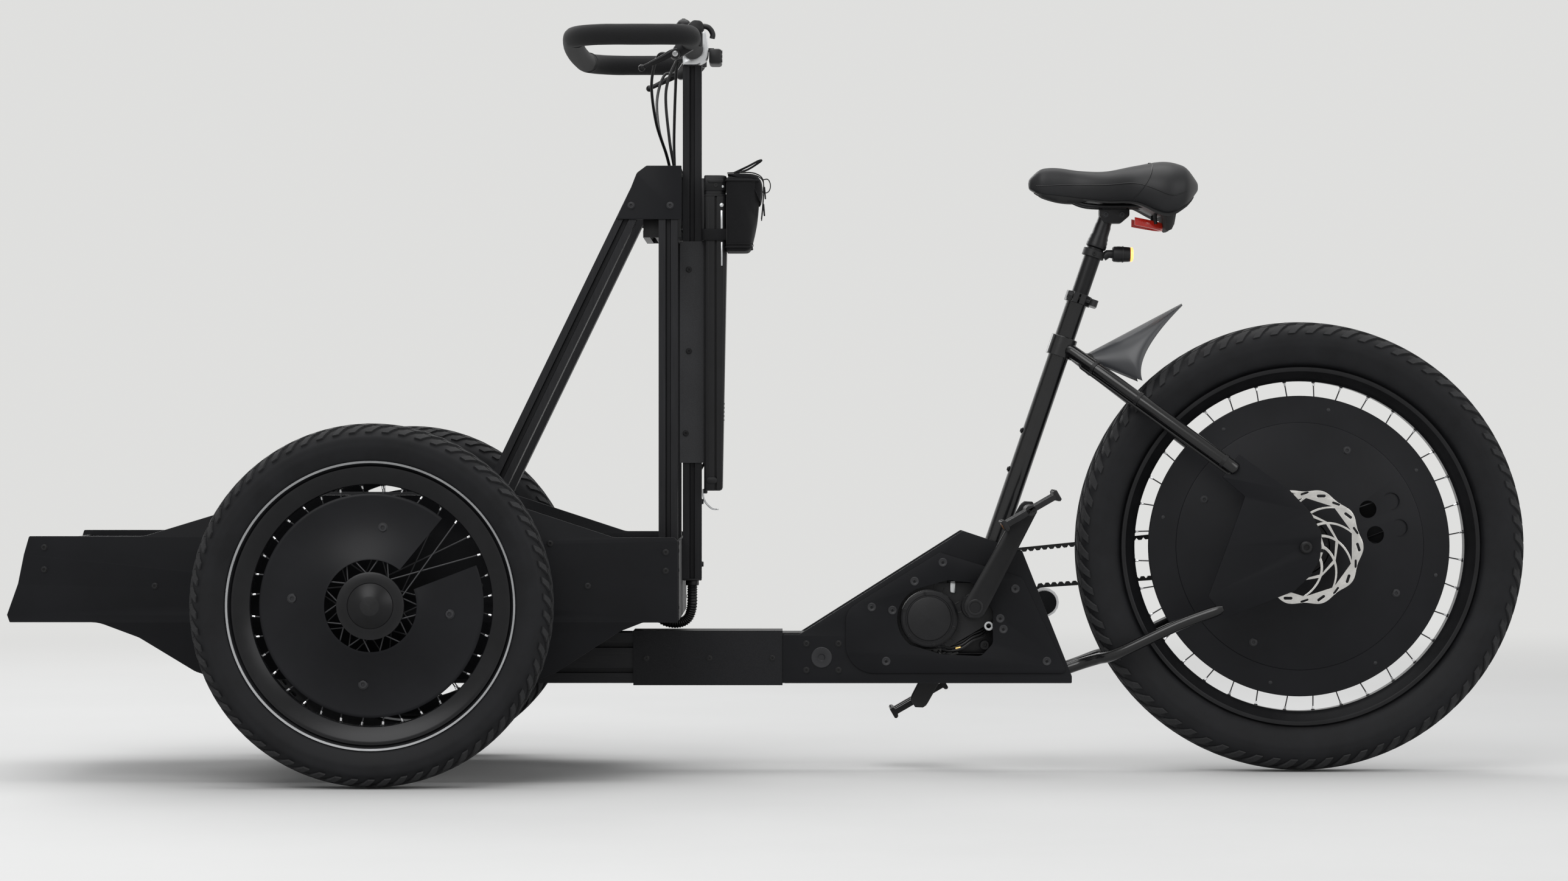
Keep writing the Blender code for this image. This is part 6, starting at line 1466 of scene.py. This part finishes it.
def fittings(body):
    base, rear, top = 1126.4, 113.5, 1179.5
    x, z = BAR
    section = outline(((rear + 4, top, 6), (x + 10, top, 10), (x + 17.2, z + 10, 12),
                       (154.8, base, 2), (x - 6, base, 10), (rear + 2, z - 16, 12), (rear, z, 50)))
    stem = Shape()
    for y0, y1 in ((-23.8, -8.4), (-8, 8), (8.4, 23.8)):
        stem.side([section, ring(BAR, 10.95, 48)], y0, y1, 1)
    for y in (-15, 15):
        stem.screw((x + 16.5, y, z - 9), (1, 0, -0.2), 3.4, 2.8)
        stem.screw((x - 6, y, top - 0.2), (0, 0, 1), 3.2, 2)
    stem.piece("stem_clamp_halves", SILVER, body, "stem_clamp")
    unit = Shape().box((92.5, -33.5, 1126.8), (112.8, 33.5, 1151), 4.5)
    unit.box((105, -10, 1149), (118, -2, 1155), 1.2)
    for key_z in (1132, 1139, 1146):
        unit.rod((93, 26.5, key_z), (91.6, 26.5, key_z), 2.8, 24)
    unit.piece("display_case", PLASTIC, body, "display")
    glass = Shape().box((92, -30, 1129.8), (93.2, 20.5, 1148), 0.5)
    glass.piece("display_screen", SCREEN, body)
    pod = Shape()
    for y, half in ((-110, 10), (110, 6), (203.5, 6)):
        pod.lathe(collar(11, 15.8, -half, half, 0.8, 1), at(BAR, y=y))
    pod.side([outline(((116, 1160, 6), (145, 1160, 6), (143, 1172, 8), (134, 1179, 8),
                       (120, 1178, 8)))], 193.5, 212, 2)
    thumb = [at(p, y=203) for p in ((124, 1170), (113, 1169), (107, 1164), (104, 1157), (105, 1151))]
    pod.tube(smooth(thumb, 30), 6, 16, flat=0.7, up=(0, 1, 0))
    pod.box((121, -119, 1160), (143, -101, 1173), 3)
    pod.piece("thumb_control", PLASTIC, body)
    bell, dome = Shape(), Shape()
    y, bell_x, bell_z = 150, x + 12, z + 16
    bell.lathe(collar(11, 14.4, -5, 5, 0.2, 1), at(BAR, y=y))
    bell.rod((x + 7, y, z + 9), (bell_x, y, bell_z + 2), 3.8, 24)
    bell.rod((bell_x, y - 3, bell_z + 1), (bell_x, y - 13.6, bell_z + 4), 1.6, 16)
    bell.piece("bell_mount", PLASTIC, body, "bell")
    outer = [(13.8 * sin(a), 4.6 + 15 * cos(a)) for a in [pi / 28 * k for k in range(15)]]
    inner = [(12.8 * cos(a), 4.6 + 13.8 * sin(a)) for a in [pi / 20 * k for k in range(1, 11)]]
    dome.lathe([*outer, (13.9, 3), (13.4, 2.6), (12.8, 4), *inner], (bell_x, y, bell_z), 64,
               (0, 0, 1))
    dome.lathe(((0, 18.8), (3, 19.2), (2.8, 20), (0, 20.1)), (bell_x, y, bell_z), 24, (0, 0, 1))
    dome.piece("bell_dome", ALLOY, body)


def cables():
    body = "front_module"
    base = 958
    sleeve = Shape().lathe(((3, -4), (9.5, -4), (9.5, 0), (12.4, 0.4), (12.2, 1.6), (9.8, 3),
                            (9.2, 5.8), (6, 6.4), (3, 6)), (CAP_X, 0, base), 56, (0, 0, 1))
    lines, tips = Shape(), Shape()
    for sign in (1, -1):
        brake = at(LEVER, 9.1, 1, sign * 180)
        stem = at(BAR, 15.5, -15, sign * 14)
        out = 3 + 7 * sign
        routes = (
            (110, ((2, 0), (3.2, 0), (3.4, 1), (3.4, 8), (2.6, 10.5), (2, 10.5)),
             (brake, brake + Vector((18, -sign * 2, -3)), (CAP_X + 29, sign * 150, 1085),
              (CAP_X + 24, sign * 85, 1030), (CAP_X + 10, sign * 25, 985),
              (CAP_X + 4, sign * 5, base + 3), (CAP_X + 3, sign * 3, base - 8))),
            (90, ((2, 0), (3.4, 0), (3.6, 1), (3, 9), (2, 9)),
             (stem, stem + Vector((10, 0, -2)), (CAP_X + out, sign * 16, 1085),
              (CAP_X + 0.5 * out, sign * 14, 1010), (CAP_X - 3, sign * 4, base + 3),
              (CAP_X - 2, sign * 3, base - 8))))
        for count, ferrule, route in routes:
            path = smooth(route, count)
            lines.tube(path, 2.35)
            tips.lathe(ferrule, path[0], 28, path[1] - path[0])
    lines.piece("control_cable_lines", CABLE, body, "control_cables")
    tips.piece("control_cable_ferrules", ALLOY, body)
    sleeve.piece("cable_grommet", CABLE, body)


# Everything, in order

stage()
for side, sign in SIDES:
    front_wheel(side, sign)
for build in (rear_wheel, gear_case, motor, cranks, rear_triangle, mudguard, saddle_post,
              cargo_bay, tower, battery, pouch, handlebar, cables):
    build()
bpy.context.view_layer.update()
